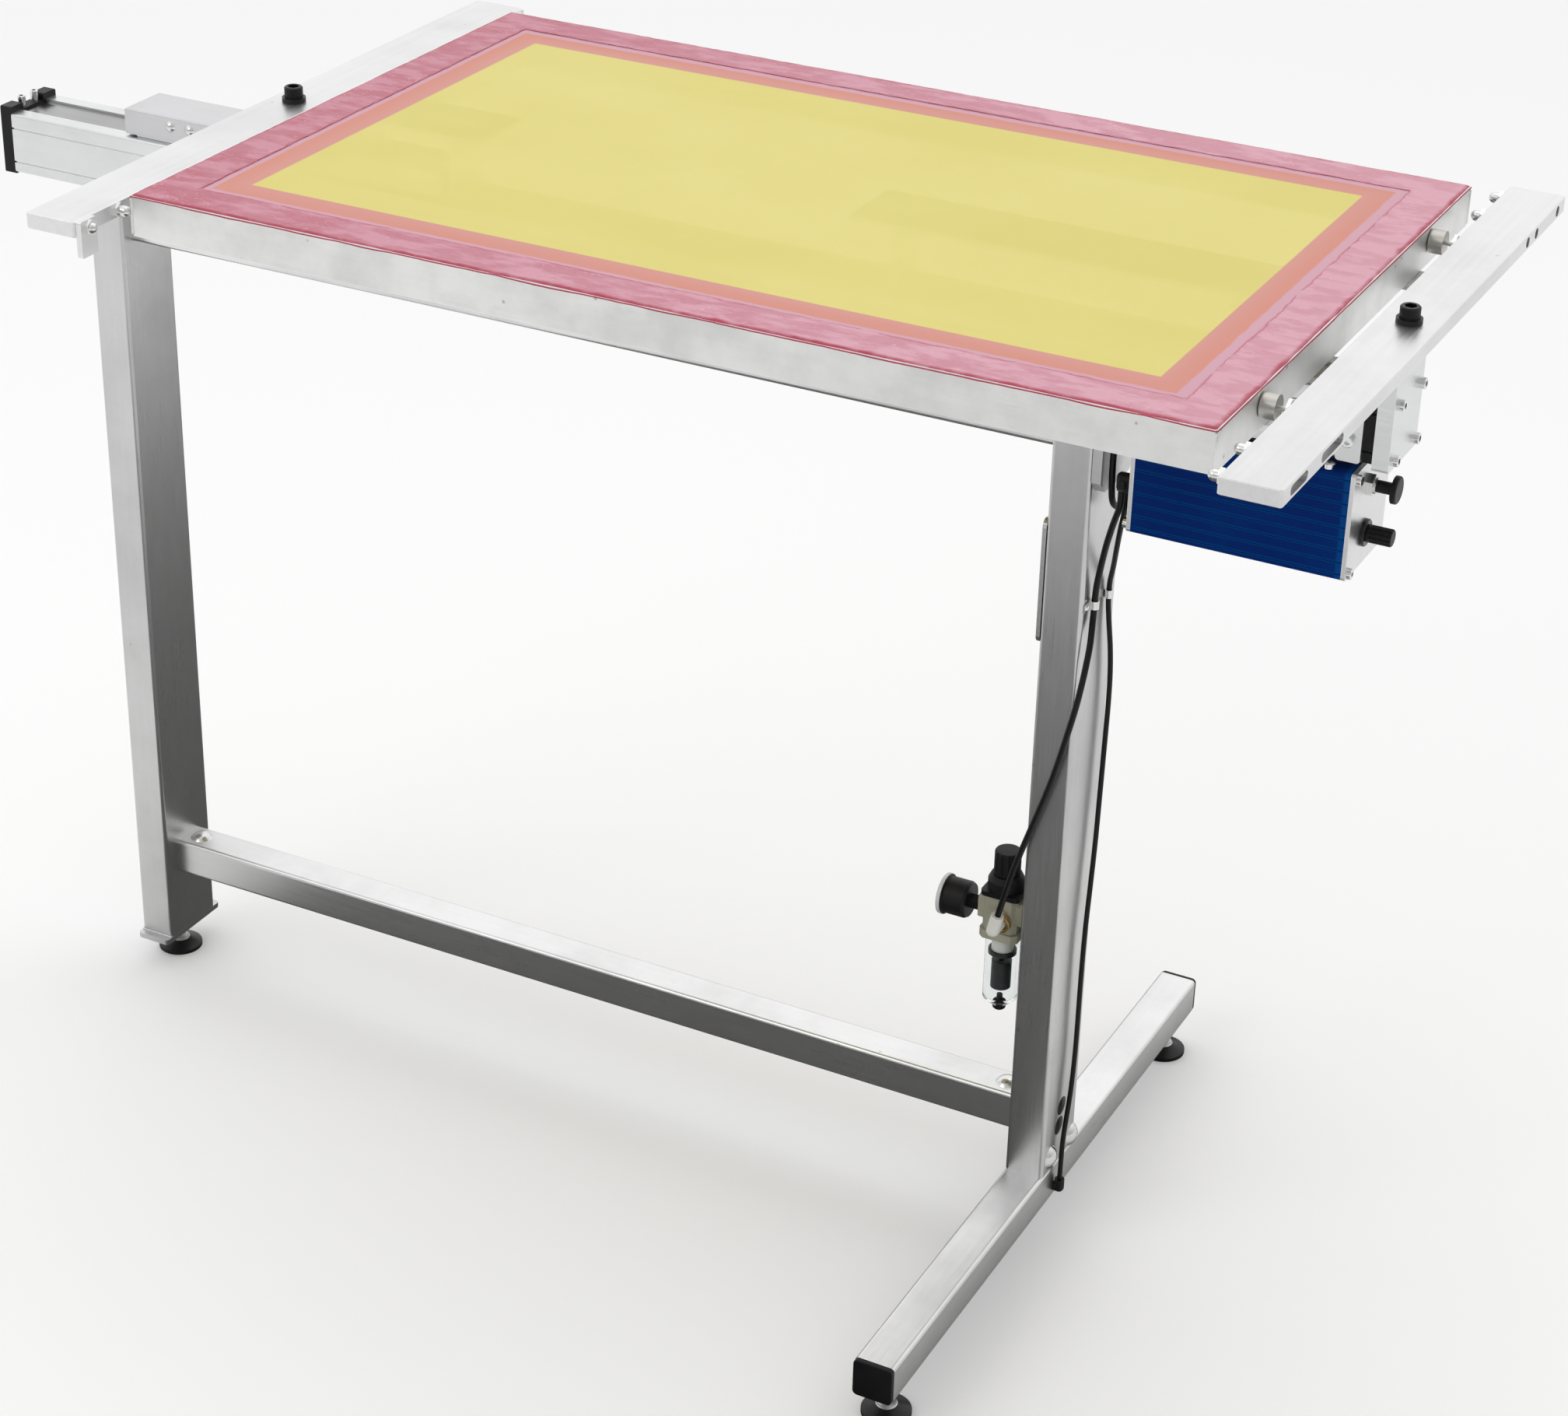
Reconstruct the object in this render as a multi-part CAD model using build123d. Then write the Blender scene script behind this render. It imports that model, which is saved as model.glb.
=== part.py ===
from build123d import *
import os
from math import pi, radians, tan

# Film positioning stand for screen printing frames.
# Millimetres, +Z up, X along the beam, Y along the two bars, floor at Z = 0.
# The origin is the middle of the outline on the floor.

# Stand tubes
tube_side = 40
post_depth = 80
tube_wall = 3
tube_corner = 4
left_overhang = 112
right_overhang = 261
deck_height = 905
lower_bar_height = 111
upper_bar_height = 850

# Foot tube, base plate and levelling feet
foot_length = 760
foot_clearance = 38
foot_flange = 5
foot_inset = 35
spigot_height = 30
base_plate_length = 98
base_plate_thickness = 6
base_plate_clearance = 30
pad_diameter = 48
pad_height = 13
spindle_diameter = 12
spindle_reach = 24
lock_nut_size = 19
lock_nut_height = 8

# Coach bolts and hole plugs
coach_head = 24
coach_head_height = 6
coach_shank = 10
coach_length = 28
coach_inset = 19
foot_bolt_places = ((-21, 15), (32, 10))
plug_diameter = 20
plug_stem = 15
plug_places = ((0, 31), (-4, 10))

# Linear beam, a hollow extrusion with a band over its slot
beam_length = 1427
beam_width = 72
beam_height = 61
beam_corner = 2
beam_side_wall = 4
beam_floor = 5
middle_cavity_height = 26
centre_cavity_width = 40
channel_width = 40
channel_depth = 3.5
slot_width = 12
slot_roof = 3
groove_heights = (11, 46)
groove_width = 2
groove_depth = 1.5
band_thickness = 1
band_edge_gap = 0.5
beam_cap = 10
left_cap = 13
cap_ear = 6.5
cap_ear_width = 20
cap_lip = 2
beam_screw_y = 28
beam_screw_inset = 5
beam_screw = 5.5
beam_screw_head = 10
beam_screw_head_height = 6
beam_screw_key = 5
beam_screw_grip = 15
band_screw_y = 10
band_screw_head = 8
band_screw_height = 11
band_screw = 4
band_screw_grip = 7

# End plate that carries the right bar
end_plate = 15
end_plate_width = 76
end_plate_drop = 5

# Bars
bar_width = 53
bar_length = 756
bar_thickness = 15
bar_lift = 43
bar_corner = 3
bar_edge = 0.8
pin_head = 18
pin_head_height = 10.5
pin_key = 10
pin_shank = 12
pin_thread = 10
pin_thread_length = 26
washer_diameter = 23
washer_thickness = 2.2
slot_spans = ((17, 56), (87, 138))
slot_height = 9
slot_depth = 7
side_hole_places = (25, 92, 119)
side_hole = 10
side_hole_depth = 12

# Stop bolts on the bars' inner edges
stop_reach = 13.75
stop_shank = 8
stop_dome = 10
stop_grip = 24
stop_nut_size = 13
stop_nut_height = 4
left_stop_places = (14, 63)
right_stop_places = (18, 74)
tab_thickness = 5.5
tab_width = 23
tab_drop = 19
tab_corner = 2

# Rests under the screen frame
rest_thickness = 5
rest_width = 40
rest_place = 180
rest_overlap = 20
rest_flange = 28

# Clamp cylinders in the right bar
clamp_places = (-212, 219)
clamp_room = 25.2
clamp_body = 10
clamp_body_length = 30
clamp_collar = 17
clamp_collar_height = 3
clamp_rod = 4
clamp_rod_length = 24
clamp_pad = 22
clamp_pad_thickness = 14
clamp_stroke = 7

# Carriage on the beam
carriage_length = 367
carriage_width = 57
cover_sheet = 1.5
cover_skirt_gap = 2
cover_bend = 2
block_end_gap = 12.5
riser_length = 45
riser_width = 56
cover_screw_places = (106, 129)
cover_screw_head = 11.5
cover_screw_height = 3
cover_screw = 4
cover_screw_length = 9
cover_screw_drop = 10.5

# Screen, a tube frame with glued mesh
screen_length = 1032
screen_width = 649
screen_offset = 10.5
screen_lift = 28
screen_height = 38
screen_member = 45
screen_wall = 2.5
screen_corner = 2
mesh_inset = 2
mesh_thickness = 0.8

# Film plates under the mesh, each on folded legs that stand on the beam
film_width = 80
film_thickness = 4
film_left_gap = 5
film_leg_clearance = 8.05
film_right_gap = 7
film_right_length = 407
film_hole = 6
film_hole_count = 13
film_hole_pitch = 26.2
film_hole_inset = 37
film_slot = (23, 82)
film_slot_width = 8
film_leg_width = 50
film_leg_foot = 36
film_leg_inset = 42

# Plate on the beam's front side at its right end
side_plate_width = 22
side_plate_height = 56
side_plate_thickness = 4
side_plate_screws = (20, 40)
side_plate_grip = 10

# Beam bracket, hanger and valve box
bracket_thickness = 9
bracket_height = 84
bracket_corner = 12
hanger_thickness = 7
box_length = 195
box_depth = 98
box_height = 100
box_corner = 3
box_wall = 4
box_port_inset = 6
box_boss = 15
box_end_gap = 3
box_plate = 4
rib_pitch = 11
rib_count = 9
rib_groove = 1.6
rib_groove_depth = 1.2
box_screw = 5
box_screw_head = 10
box_screw_head_height = 4.5
box_screw_key = 4
box_screw_grip = 12
lid_screw_inset = 22
lid_screw_grip = 8
valve_y = -8
button_drop = 23.5
knob_drop = 69
valve_block = 30
knob_block = 26
valve_length = 45
sleeve_back = 4
button_stem = 11
button_disc = 25
button_disc_thickness = 5
button_standoff = 16.5
button_travel = 6
button_stem_depth = 18
bush_sleeve = 14
bush_nut_size = 18
bush_nut_height = 6
bush_collar = 15
bush_collar_height = 2
knob_diameter = 16
knob_length = 22.5
knob_stem = 6
knob_stem_depth = 15
knob_sleeve = 10
knob_flange = 25
knob_flange_height = 4
grip_count = 12
grip_groove = 2

# Pressure regulator on the right post's inner face
regulator_y = -8
regulator_stand_off = 30
regulator_base = 326
regulator_length = 46
regulator_depth = 36
regulator_height = 47
regulator_chamfer = 5
regulator_core = 36
port_boss = 26
port_boss_rise = 18
port_boss_depth = 25
bowl_ring = 40
bowl_ring_height = 9
front_boss = 25
front_boss_depth = 2
bonnet_flange = 40
bonnet_flange_height = 5
bonnet_diameter = 36
bonnet_height = 15
bonnet_shoulder = 30
bonnet_shoulder_height = 6
bonnet_neck = 16
bonnet_neck_height = 13
regulator_knob_diameter = 26
regulator_knob_height = 25
knob_roof = 11
bowl_diameter = 34
bowl_height = 78
bowl_wall = 2
holder_diameter = 22
holder_height = 17
baffle_diameter = 28
baffle_height = 4
element_stem = 6
element_stem_height = 9
element_diameter = 20
element_height = 30
drain_diameter = 13
drain_height = 8
drain_stem = 6
drain_stem_height = 8
gauge_drop = 21
gauge_diameter = 40
gauge_depth = 28
gauge_wall = 2.5
gauge_back_slope = 3
gauge_rim_step = 1.5
gauge_rim_depth = 5
gauge_rim_slope = 1
gauge_stem_size = 14
gauge_stem_length = 13
dial_thickness = 1
dial_depth = 4
needle_length = 13
needle_tail = 5
needle_width = 2
needle_pin = 2
bracket_arm_width = 24
bracket_arm_height = 30
elbow_diameter = 13
elbow_drop = 23
elbow_reach = 19
elbow_x_shift = 4
elbow_lean = 13
elbow_rise = 18

# Strip plate beside the regulator
strip_thickness = 4
strip_width = 15
strip_length = 124
strip_base = 662
strip_edge_gap = 1
strip_screw_inset = 9
strip_screw = 4

# Hoses, their fittings and clips
thick_hose = 6
thin_hose = 5
hose_lead = 19
fitting_diameter = 10
fitting_thread = 8
fitting_thread_length = 8
elbow_offset = 10
elbow_leg = 10
beam_fitting_height = 12
foot_fitting_rise = 10
clip_wall = 1.2
clip_height = 8
clip_tail = 11
clip_screw = 4
clip_screw_head = 7

# Clearances
shank_gap = 0.15
running_gap = 0.05
body_gap = 0.3

# Places worked out from the sizes above
overall_length = left_cap + beam_length + beam_cap + end_plate / 2 + bar_width / 2
beam_x0 = left_cap - overall_length / 2
beam_x1 = beam_x0 + beam_length
plate_x0 = beam_x1 + beam_cap
plate_x1 = plate_x0 + end_plate
right_bar_x = plate_x0 + end_plate / 2
bar_pitch = bar_width + stop_reach + body_gap + screen_length + clamp_room
left_bar_x = right_bar_x - bar_pitch
left_post_x = beam_x0 + left_overhang
right_post_x = beam_x1 - right_overhang
post_face = right_post_x + tube_side / 2
inner_face = right_post_x - tube_side / 2
foot_pitch = foot_length - 2 * foot_inset
foot_top = foot_clearance + tube_side
beam_top = deck_height + beam_height
channel_floor = beam_top - channel_depth
bar_base = beam_top + bar_lift
bar_top = bar_base + bar_thickness
bar_middle = bar_base + bar_thickness / 2
left_edge = left_bar_x + bar_width / 2
right_edge = right_bar_x - bar_width / 2
screen_base = beam_top + screen_lift
screen_top = screen_base + screen_height
screen_x0 = left_edge + stop_reach + body_gap
screen_x1 = screen_x0 + screen_length
rest_top = screen_base - body_gap
film_top = screen_top - body_gap
film_left_x = screen_x0 + screen_member + film_left_gap
film_right_x = screen_x1 - screen_member - film_right_gap
lid_screw_place = (beam_x1 - lid_screw_inset - box_end_gap, box_port_inset - box_depth / 2)
beam_screw_heights = (deck_height + beam_screw_inset, beam_top - beam_screw_inset)
box_top = deck_height - hanger_thickness
box_base = box_top - box_height
box_x1 = beam_x1 - box_end_gap
box_x0 = box_x1 - box_length
box_face = box_x1 + box_plate
box_back = box_x0 - box_plate
button_z = box_top - button_drop
knob_z = box_top - knob_drop
regulator_x = inner_face - regulator_stand_off
regulator_top = regulator_base + regulator_height
gauge_z = regulator_top - gauge_drop
elbow_z = regulator_top - elbow_drop

# Hose routes between the leads that come straight out of their fittings.
# A route's first number is its distance from the right post's outer face.
elbow_root = (regulator_x + elbow_x_shift, regulator_y - regulator_depth / 2 - elbow_reach, elbow_z)
hose_a_fitting = (box_back - elbow_offset, -40, 845)
hose_b_fitting = (box_back - elbow_offset, -27, 838)
hose_c_fitting = (box_back - elbow_offset, 31, 852)
hose_c_top = (post_face + 14.75, -28, deck_height)
hose_b_foot = (post_face + 6, -6.5, 50)
hose_a_route = [
    (-46.3, -47, 430), (-31, -48, 478), (-15, -47.5, 530), (-5, -47.5, 572), (4, -48, 612),
    (8.5, -45, 646), (8, -34, 671), (4.8, -24, 688), (4.35, -21.6, 700), (4.35, -21.4, 712),
    (5.2, -21.6, 726), (9, -24, 747), (14.5, -29.5, 771), (22.5, -36, 798),
]
hose_b_route = [
    (24, -20.5, 790), (17, -8.5, 762), (9.5, 6, 733), (4.4, 13.4, 715), (3.95, 14, 706), (3.95, 14, 698),
    (4.2, 14.5, 689), (5.2, 17, 670), (6.4, 22.5, 642), (6.7, 26.5, 612), (6.7, 27.2, 580),
    (6.7, 25.4, 540), (6.7, 23, 487), (6.7, 20.8, 436), (6.7, 16, 388), (6.7, 11.5, 348),
    (6.7, 9.6, 310), (6.7, 9.2, 270), (6.7, 9.5, 225), (6.7, 8, 185), (6.6, 3.5, 150),
    (6.2, -2, 125), (5.95, -5.5, 105),
]
hose_c_route = [
    (23.75, 25, 808), (17.75, 9, 799), (15.15, -10, 800), (14.75, -24, 811), (15.35, -29.5, 832),
    (14.95, -29.3, 856),
]
clip_a_place = (post_face + 4.35, -21.5, 706)
clip_b_place = (post_face + 3.95, 14, 702)

STANDING = (Align.CENTER, Align.CENTER, Align.MIN)


# Shared shapes

def block(x, y, z):
    """A box between two corners, each side given as a (low, high) pair."""
    centre = [(low + high) / 2 for low, high in (x, y, z)]
    size = [high - low for low, high in (x, y, z)]
    return Pos(*centre) * Box(*size)


def along_x(sketch, x0, x1):
    """A section drawn in Y and Z, made solid from x0 to x1."""
    return extrude(Plane.YZ.offset(x0) * sketch, x1 - x0)


def along_y(sketch, y0, y1):
    """A section drawn in X and Z, made solid from y0 to y1."""
    return extrude(Plane.XZ.offset(-y1) * sketch, y1 - y0)


def along_z(sketch, z0, z1):
    """A section drawn in X and Y, made solid from z0 to z1."""
    return extrude(Plane.XY.offset(z0) * sketch, z1 - z0)


def rod(diameter, start, end):
    """A round bar from one point to another."""
    axis = Vector(*end) - Vector(*start)
    return Plane(origin=start, z_dir=axis) * Cylinder(diameter / 2, axis.length, align=STANDING)


def turned(radius_height):
    """A turned body on the Z axis, from a list of (radius, height) corners."""
    corners = [(0, radius_height[0][1])] + radius_height + [(0, radius_height[-1][1])]
    return revolve(Plane.XZ * make_face(Polyline(*corners, close=True)), Axis.Z)


def hexagon(size, height):
    """A hexagon bar of the given width across flats, standing on Z = 0."""
    return extrude(RegularPolygon(size / 2, 6, major_radius=False), height)


def facing(point, direction):
    """The place of a piece whose own +Z axis points along the direction."""
    return Plane(origin=point, z_dir=direction)


def tube_section(width, height):
    """Rolled rectangular tube."""
    inner_corner = max(tube_corner - tube_wall, 0.5)
    outside = RectangleRounded(width, height, tube_corner)
    return outside - RectangleRounded(width - 2 * tube_wall, height - 2 * tube_wall, inner_corner)


def cap_screw(head, height, key, shank, length):
    """A socket head screw, its head standing on Z = 0."""
    top = Cylinder(head / 2, height, align=STANDING)
    top = chamfer(top.edges().group_by(Axis.Z)[-1], head / 16)
    top -= Pos(0, 0, height / 2) * hexagon(key, height)
    return top + rod(shank, (0, 0, -length), (0, 0, 0))


def dome_head(head, height):
    """A low dome, a slice of a ball, standing on Z = 0."""
    radius = ((head / 2) ** 2 + height ** 2) / (2 * height)
    return Pos(0, 0, height - radius) * Sphere(radius) & Cylinder(head / 2, height, align=STANDING)


def coach_bolt():
    return dome_head(coach_head, coach_head_height) + rod(coach_shank, (0, 0, -coach_length), (0, 0, 0))


def grip_grooves(diameter, height, z0):
    """Grooves that are cut round a knob's side."""
    groove = Pos(diameter / 2, 0, z0) * Cylinder(grip_groove / 2, height, align=STANDING)
    return [Rot(0, 0, 360 * i / grip_count) * groove for i in range(grip_count)]


# Stand

def post(x, base):
    section = Pos(x, 0) * tube_section(tube_side, post_depth)
    return along_z(section, base, deck_height)


def left_base_plate():
    z1 = base_plate_clearance + base_plate_thickness
    plate = along_z(Pos(left_post_x, 0) * RectangleRounded(tube_side, base_plate_length, 4),
                    base_plate_clearance, z1)
    hole = spindle_diameter + 2 * running_gap
    return plate - rod(hole, (left_post_x, 0, 0), (left_post_x, 0, z1 + 1))


def right_post():
    shape = post(right_post_x, foot_top)
    for y, rise in foot_bolt_places:
        hole = coach_shank + 2 * shank_gap
        z = foot_top + rise
        shape -= rod(hole, (post_face - 2 * tube_wall, y, z), (post_face + 1, y, z))
    for y, rise in plug_places:
        z = lower_bar_height + rise
        hole = plug_stem + 2 * shank_gap
        shape -= rod(hole, (post_face - 2 * tube_wall, y, z), (post_face + 1, y, z))
    return shape


def foot_tube():
    """Square tube across the right post, with a welded spigot that fills the post's lower end."""
    half = foot_length / 2 - foot_flange
    section = Pos(right_post_x, foot_clearance + tube_side / 2) * tube_section(tube_side, tube_side)
    shape = along_y(section, -half, half)
    spigot_x = tube_side - 2 * tube_wall - 2 * body_gap
    spigot_y = post_depth - 2 * tube_wall - 2 * body_gap
    spigot = Pos(right_post_x, 0) * Rectangle(spigot_x, spigot_y)
    shape += along_z(spigot, foot_top - tube_wall / 2, foot_top + spigot_height)
    for y, rise in foot_bolt_places:
        z = foot_top + rise
        hole = coach_shank + 2 * shank_gap
        shape -= rod(hole, (post_face - coach_length - 1, y, z), (post_face + 1, y, z))
    for y in (-foot_pitch / 2, foot_pitch / 2):
        hole = spindle_diameter + 2 * running_gap
        shape -= rod(hole, (right_post_x, y, foot_clearance - 1),
                     (right_post_x, y, foot_clearance + 2 * tube_wall))
    return shape


def crossbar(base):
    x0 = left_post_x + tube_side / 2
    section = Pos(0, base + tube_side / 2) * tube_section(tube_side, tube_side)
    return along_x(section, x0, inner_face)


def coach_bolt_places():
    """Where the lower crossbar's two bolts stand, near the posts."""
    z = lower_bar_height + tube_side
    x0 = left_post_x + tube_side / 2 + coach_inset
    return [(x0, 0, z), (inner_face - coach_inset, 0, z)]


def lower_crossbar():
    shape = crossbar(lower_bar_height)
    for x, y, z in coach_bolt_places():
        shape -= rod(coach_shank + 2 * shank_gap, (x, y, z - 2 * tube_wall), (x, y, z + 1))
    return shape


def coach_bolts():
    bolts = [facing(place, (0, 0, 1)) * coach_bolt() for place in coach_bolt_places()]
    for y, rise in foot_bolt_places:
        bolts.append(facing((post_face, y, foot_top + rise), (1, 0, 0)) * coach_bolt())
    return bolts


def tube_plugs():
    """Two end caps in the foot tube and two plugs over access holes in the right post."""
    half = foot_length / 2 - foot_flange
    inner = tube_side - 2 * tube_wall - 2 * shank_gap
    cap = Pos(0, 0, -foot_flange * 2) * extrude(RectangleRounded(inner, inner, 1), 2 * foot_flange)
    flange = extrude(RectangleRounded(tube_side, tube_side, tube_corner + 1), foot_flange)
    cap += fillet(flange.edges().group_by(Axis.Z)[-1], foot_flange / 4)
    z = foot_clearance + tube_side / 2
    plugs = [facing((right_post_x, side * half, z), (0, side, 0)) * cap for side in (-1, 1)]
    small = dome_head(plug_diameter, tube_wall / 2) + rod(plug_stem, (0, 0, -tube_wall), (0, 0, 0))
    for y, rise in plug_places:
        plugs.append(facing((post_face, y, lower_bar_height + rise), (1, 0, 0)) * small)
    return plugs


def levelling_foot(x, y, seat):
    """Pad with its spindle in one piece, and the lock nut under the seat."""
    ball = spindle_diameter * 0.75
    profile = [(pad_diameter / 2, 0), (pad_diameter / 2, 4), (ball + 2, pad_height - 3), (ball, pad_height)]
    pad = turned(profile) + rod(spindle_diameter, (0, 0, pad_height - 1), (0, 0, seat + spindle_reach))
    nut = Pos(0, 0, seat - lock_nut_height) * hexagon(lock_nut_size, lock_nut_height)
    nut -= rod(spindle_diameter + 2 * shank_gap, (0, 0, 0), (0, 0, seat + 1))
    return [Pos(x, y, 0) * pad, Pos(x, y, 0) * nut]


# Beam

def beam_outline():
    """The beam's outer section, with its side grooves."""
    outline = Pos(0, deck_height + beam_height / 2) * RectangleRounded(beam_width, beam_height, beam_corner)
    for height in groove_heights:
        for side in (-1, 1):
            place = Pos(side * beam_width / 2, deck_height + height)
            outline -= place * Rectangle(2 * groove_depth, groove_width)
    return outline


def beam_ports():
    """Round screw ports in the section's four corners."""
    places = [(side * beam_screw_y, z) for side in (-1, 1) for z in beam_screw_heights]
    return [Pos(y, z) * Circle(beam_screw / 2 + shank_gap) for y, z in places]


def linear_beam():
    roof = channel_floor - slot_roof
    floor = deck_height + beam_floor
    centre = Pos(0, (roof + floor) / 2) * RectangleRounded(centre_cavity_width, roof - floor, 3)
    middle_width = beam_width - 2 * beam_side_wall
    middle = Pos(0, deck_height + beam_height / 2) * RectangleRounded(middle_width, middle_cavity_height, 3)
    channel = Pos(0, beam_top) * Rectangle(channel_width, 2 * channel_depth)
    slot = Pos(0, channel_floor) * Rectangle(slot_width, 2 * slot_roof + 1)
    section = beam_outline() - centre - middle - channel - slot
    for port in beam_ports():
        section -= port
    shape = along_x(section, beam_x0, beam_x1)
    for x, y, z in side_plate_points():
        shape -= rod(beam_screw + 2 * shank_gap, (x, y - 1, z), (x, y + 2 * beam_side_wall, z))
    return shape


def cover_band():
    half = channel_width / 2 - band_edge_gap
    return block((beam_x0, beam_x1), (-half, half), (channel_floor, channel_floor + band_thickness))


def band_screw_points():
    return [(beam_x0 - left_cap / 2, side * band_screw_y, beam_top) for side in (-1, 1)]


def beam_end_caps():
    """The left cap stands up in two ears round the band screws, the right one is flat."""
    outer = Pos(0, deck_height + (beam_height - cap_lip) / 2)
    section = outer * RectangleRounded(beam_width, beam_height + cap_lip, beam_corner)
    for side in (-1, 1):
        place = Pos(side * (beam_width - cap_ear_width) / 2, beam_top)
        section += place * RectangleRounded(cap_ear_width, 2 * cap_ear, beam_corner)
    left = along_x(section, beam_x0 - left_cap, beam_x0)
    for x, y, z in band_screw_points():
        left -= rod(band_screw + 2 * shank_gap, (x, y, z - band_screw_grip - 1), (x, y, z + 1))
    for height in groove_heights:
        for side in (-1, 1):
            y, z = side * beam_screw_y, deck_height + height
            left -= rod(beam_screw, (beam_x0 - left_cap - 1, y, z), (beam_x0 - left_cap / 2, y, z))
    section = beam_outline()
    for port in beam_ports():
        section -= port
    return [left, along_x(section, beam_x1, plate_x0)]


def side_plate_points():
    """Where the side plate's screws pass the beam's front face."""
    x = beam_x1 - side_plate_width / 2
    return [(x, -beam_width / 2, deck_height + rise) for rise in side_plate_screws]


def beam_end_plates():
    """The plate that carries the right bar, and the small plate on the beam's front side."""
    z0 = deck_height - end_plate_drop
    section = Pos(0, (z0 + bar_base) / 2) * RectangleRounded(end_plate_width, bar_base - z0, 3)
    for port in beam_ports():
        section -= port
    shape = along_x(section, plate_x0, plate_x1)
    hole = pin_thread + 2 * shank_gap
    shape -= rod(hole, (right_bar_x, 0, bar_base - pin_thread_length - 1), (right_bar_x, 0, bar_base + 1))
    middle = Pos(beam_x1 - side_plate_width / 2, deck_height + side_plate_height / 2)
    face = -beam_width / 2
    side = along_y(middle * RectangleRounded(side_plate_width, side_plate_height, 3),
                   face - side_plate_thickness, face)
    for x, y, z in side_plate_points():
        side -= rod(beam_screw + 2 * shank_gap, (x, y - side_plate_thickness - 1, z), (x, y + 1, z))
    return [shape, side]


def beam_screws():
    """Two band screws, the end plate's four and the side plate's two."""
    upright = cap_screw(band_screw_head, band_screw_height, band_screw, band_screw, band_screw_grip)
    pieces = [facing(point, (0, 0, 1)) * upright for point in band_screw_points()]
    length = end_plate + beam_cap + beam_screw_grip
    screw = cap_screw(beam_screw_head, beam_screw_head_height, beam_screw_key, beam_screw, length)
    points = [(plate_x1, side * beam_screw_y, z) for side in (-1, 1) for z in beam_screw_heights]
    pieces += [facing(point, (1, 0, 0)) * screw for point in points]
    short = cap_screw(beam_screw_head, beam_screw_head_height, beam_screw_key, beam_screw, side_plate_grip)
    for x, y, z in side_plate_points():
        pieces.append(facing((x, y - side_plate_thickness, z), (0, -1, 0)) * short)
    return pieces


# Bars and what is on them

def bar(x, inner, stop_places):
    """Flat bar with its pin hole and the stop bolts' holes in its inner edge."""
    shape = along_z(Pos(x, 0) * RectangleRounded(bar_width, bar_length, bar_corner), bar_base, bar_top)
    rims = shape.faces().sort_by(Axis.Z)
    shape = chamfer(rims[0].edges() + rims[-1].edges(), bar_edge)
    shape -= rod(pin_shank + 2 * shank_gap, (x, 0, bar_base - 1), (x, 0, bar_top + 1))
    edge = x + inner * bar_width / 2
    for place in stop_places:
        for y in (place - bar_length / 2, bar_length / 2 - place):
            start = (edge - inner * (stop_grip + 1), y, bar_middle)
            shape -= rod(stop_shank + 2 * shank_gap, start, (edge + inner, y, bar_middle))
    return shape


def right_bar():
    shape = bar(right_bar_x, -1, right_stop_places)
    for y in clamp_places:
        start = (right_edge - 1, y, bar_middle)
        shape -= rod(clamp_body + 2 * shank_gap, start, (right_edge + clamp_body_length + 1, y, bar_middle))
    outer = right_bar_x + bar_width / 2
    for y0, y1 in slot_spans:
        slot = Pos((y0 + y1 - bar_length) / 2, bar_middle) * SlotOverall(y1 - y0, slot_height)
        shape -= along_x(slot, outer - slot_depth, outer + 1)
    for place in side_hole_places:
        y = bar_length / 2 - place
        shape -= rod(side_hole, (outer - side_hole_depth, y, bar_middle), (outer + 1, y, bar_middle))
    return shape


def bar_pin(x):
    """Socket head pin on two washers, its thread in what carries the bar."""
    seat = bar_top + 2 * washer_thickness
    grip = seat - bar_base
    screw = cap_screw(pin_head, pin_head_height, pin_key, pin_shank, grip)
    screw += rod(pin_thread, (0, 0, -grip - pin_thread_length), (0, 0, -grip))
    ring = Circle(washer_diameter / 2) - Circle(pin_shank / 2 + shank_gap)
    washers = [along_z(Pos(x, 0) * ring, bar_top + i * washer_thickness, bar_top + (i + 1) * washer_thickness)
               for i in range(2)]
    return [Pos(x, 0, seat) * screw] + washers


def stop_bolt(seat):
    """Stop bolt with its domed end at the stop's reach, and its lock nut on the seat."""
    ball = stop_reach - stop_dome / 2
    bolt = rod(stop_shank, (0, 0, -stop_grip), (0, 0, ball))
    bolt += rod(stop_dome, (0, 0, seat + stop_nut_height), (0, 0, ball))
    bolt += Pos(0, 0, ball) * Sphere(stop_dome / 2)
    nut = Pos(0, 0, seat) * hexagon(stop_nut_size, stop_nut_height)
    nut -= rod(stop_shank + 2 * shank_gap, (0, 0, seat - 1), (0, 0, seat + stop_nut_height + 1))
    return [bolt, nut]


def stop_bolts(edge, inner, places, outer_seat):
    """Two stops at each end of a bar, the outer one with its nut on the given seat."""
    pieces = []
    for place in places:
        seat = outer_seat if place == min(places) else 0
        for y in (place - bar_length / 2, bar_length / 2 - place):
            pieces += [facing((edge, y, bar_middle), (inner, 0, 0)) * piece for piece in stop_bolt(seat)]
    return pieces


def screen_rests(edge, inner, screen_edge):
    """Two folded rests under the screen frame."""
    lip_end = screen_edge + inner * rest_overlap
    x_flange = sorted((edge - inner * rest_flange, edge))
    x_leg = sorted((edge, edge + inner * rest_thickness))
    x_lip = sorted((edge, lip_end))
    pieces = []
    for side in (-1, 1):
        y = (side * rest_place - rest_width / 2, side * rest_place + rest_width / 2)
        rest = block(x_flange, y, (bar_base - rest_thickness, bar_base))
        rest += block(x_leg, y, (rest_top - rest_thickness, bar_base))
        rest += block(x_lip, y, (rest_top - rest_thickness, rest_top))
        pieces.append(rest)
    return pieces


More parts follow.
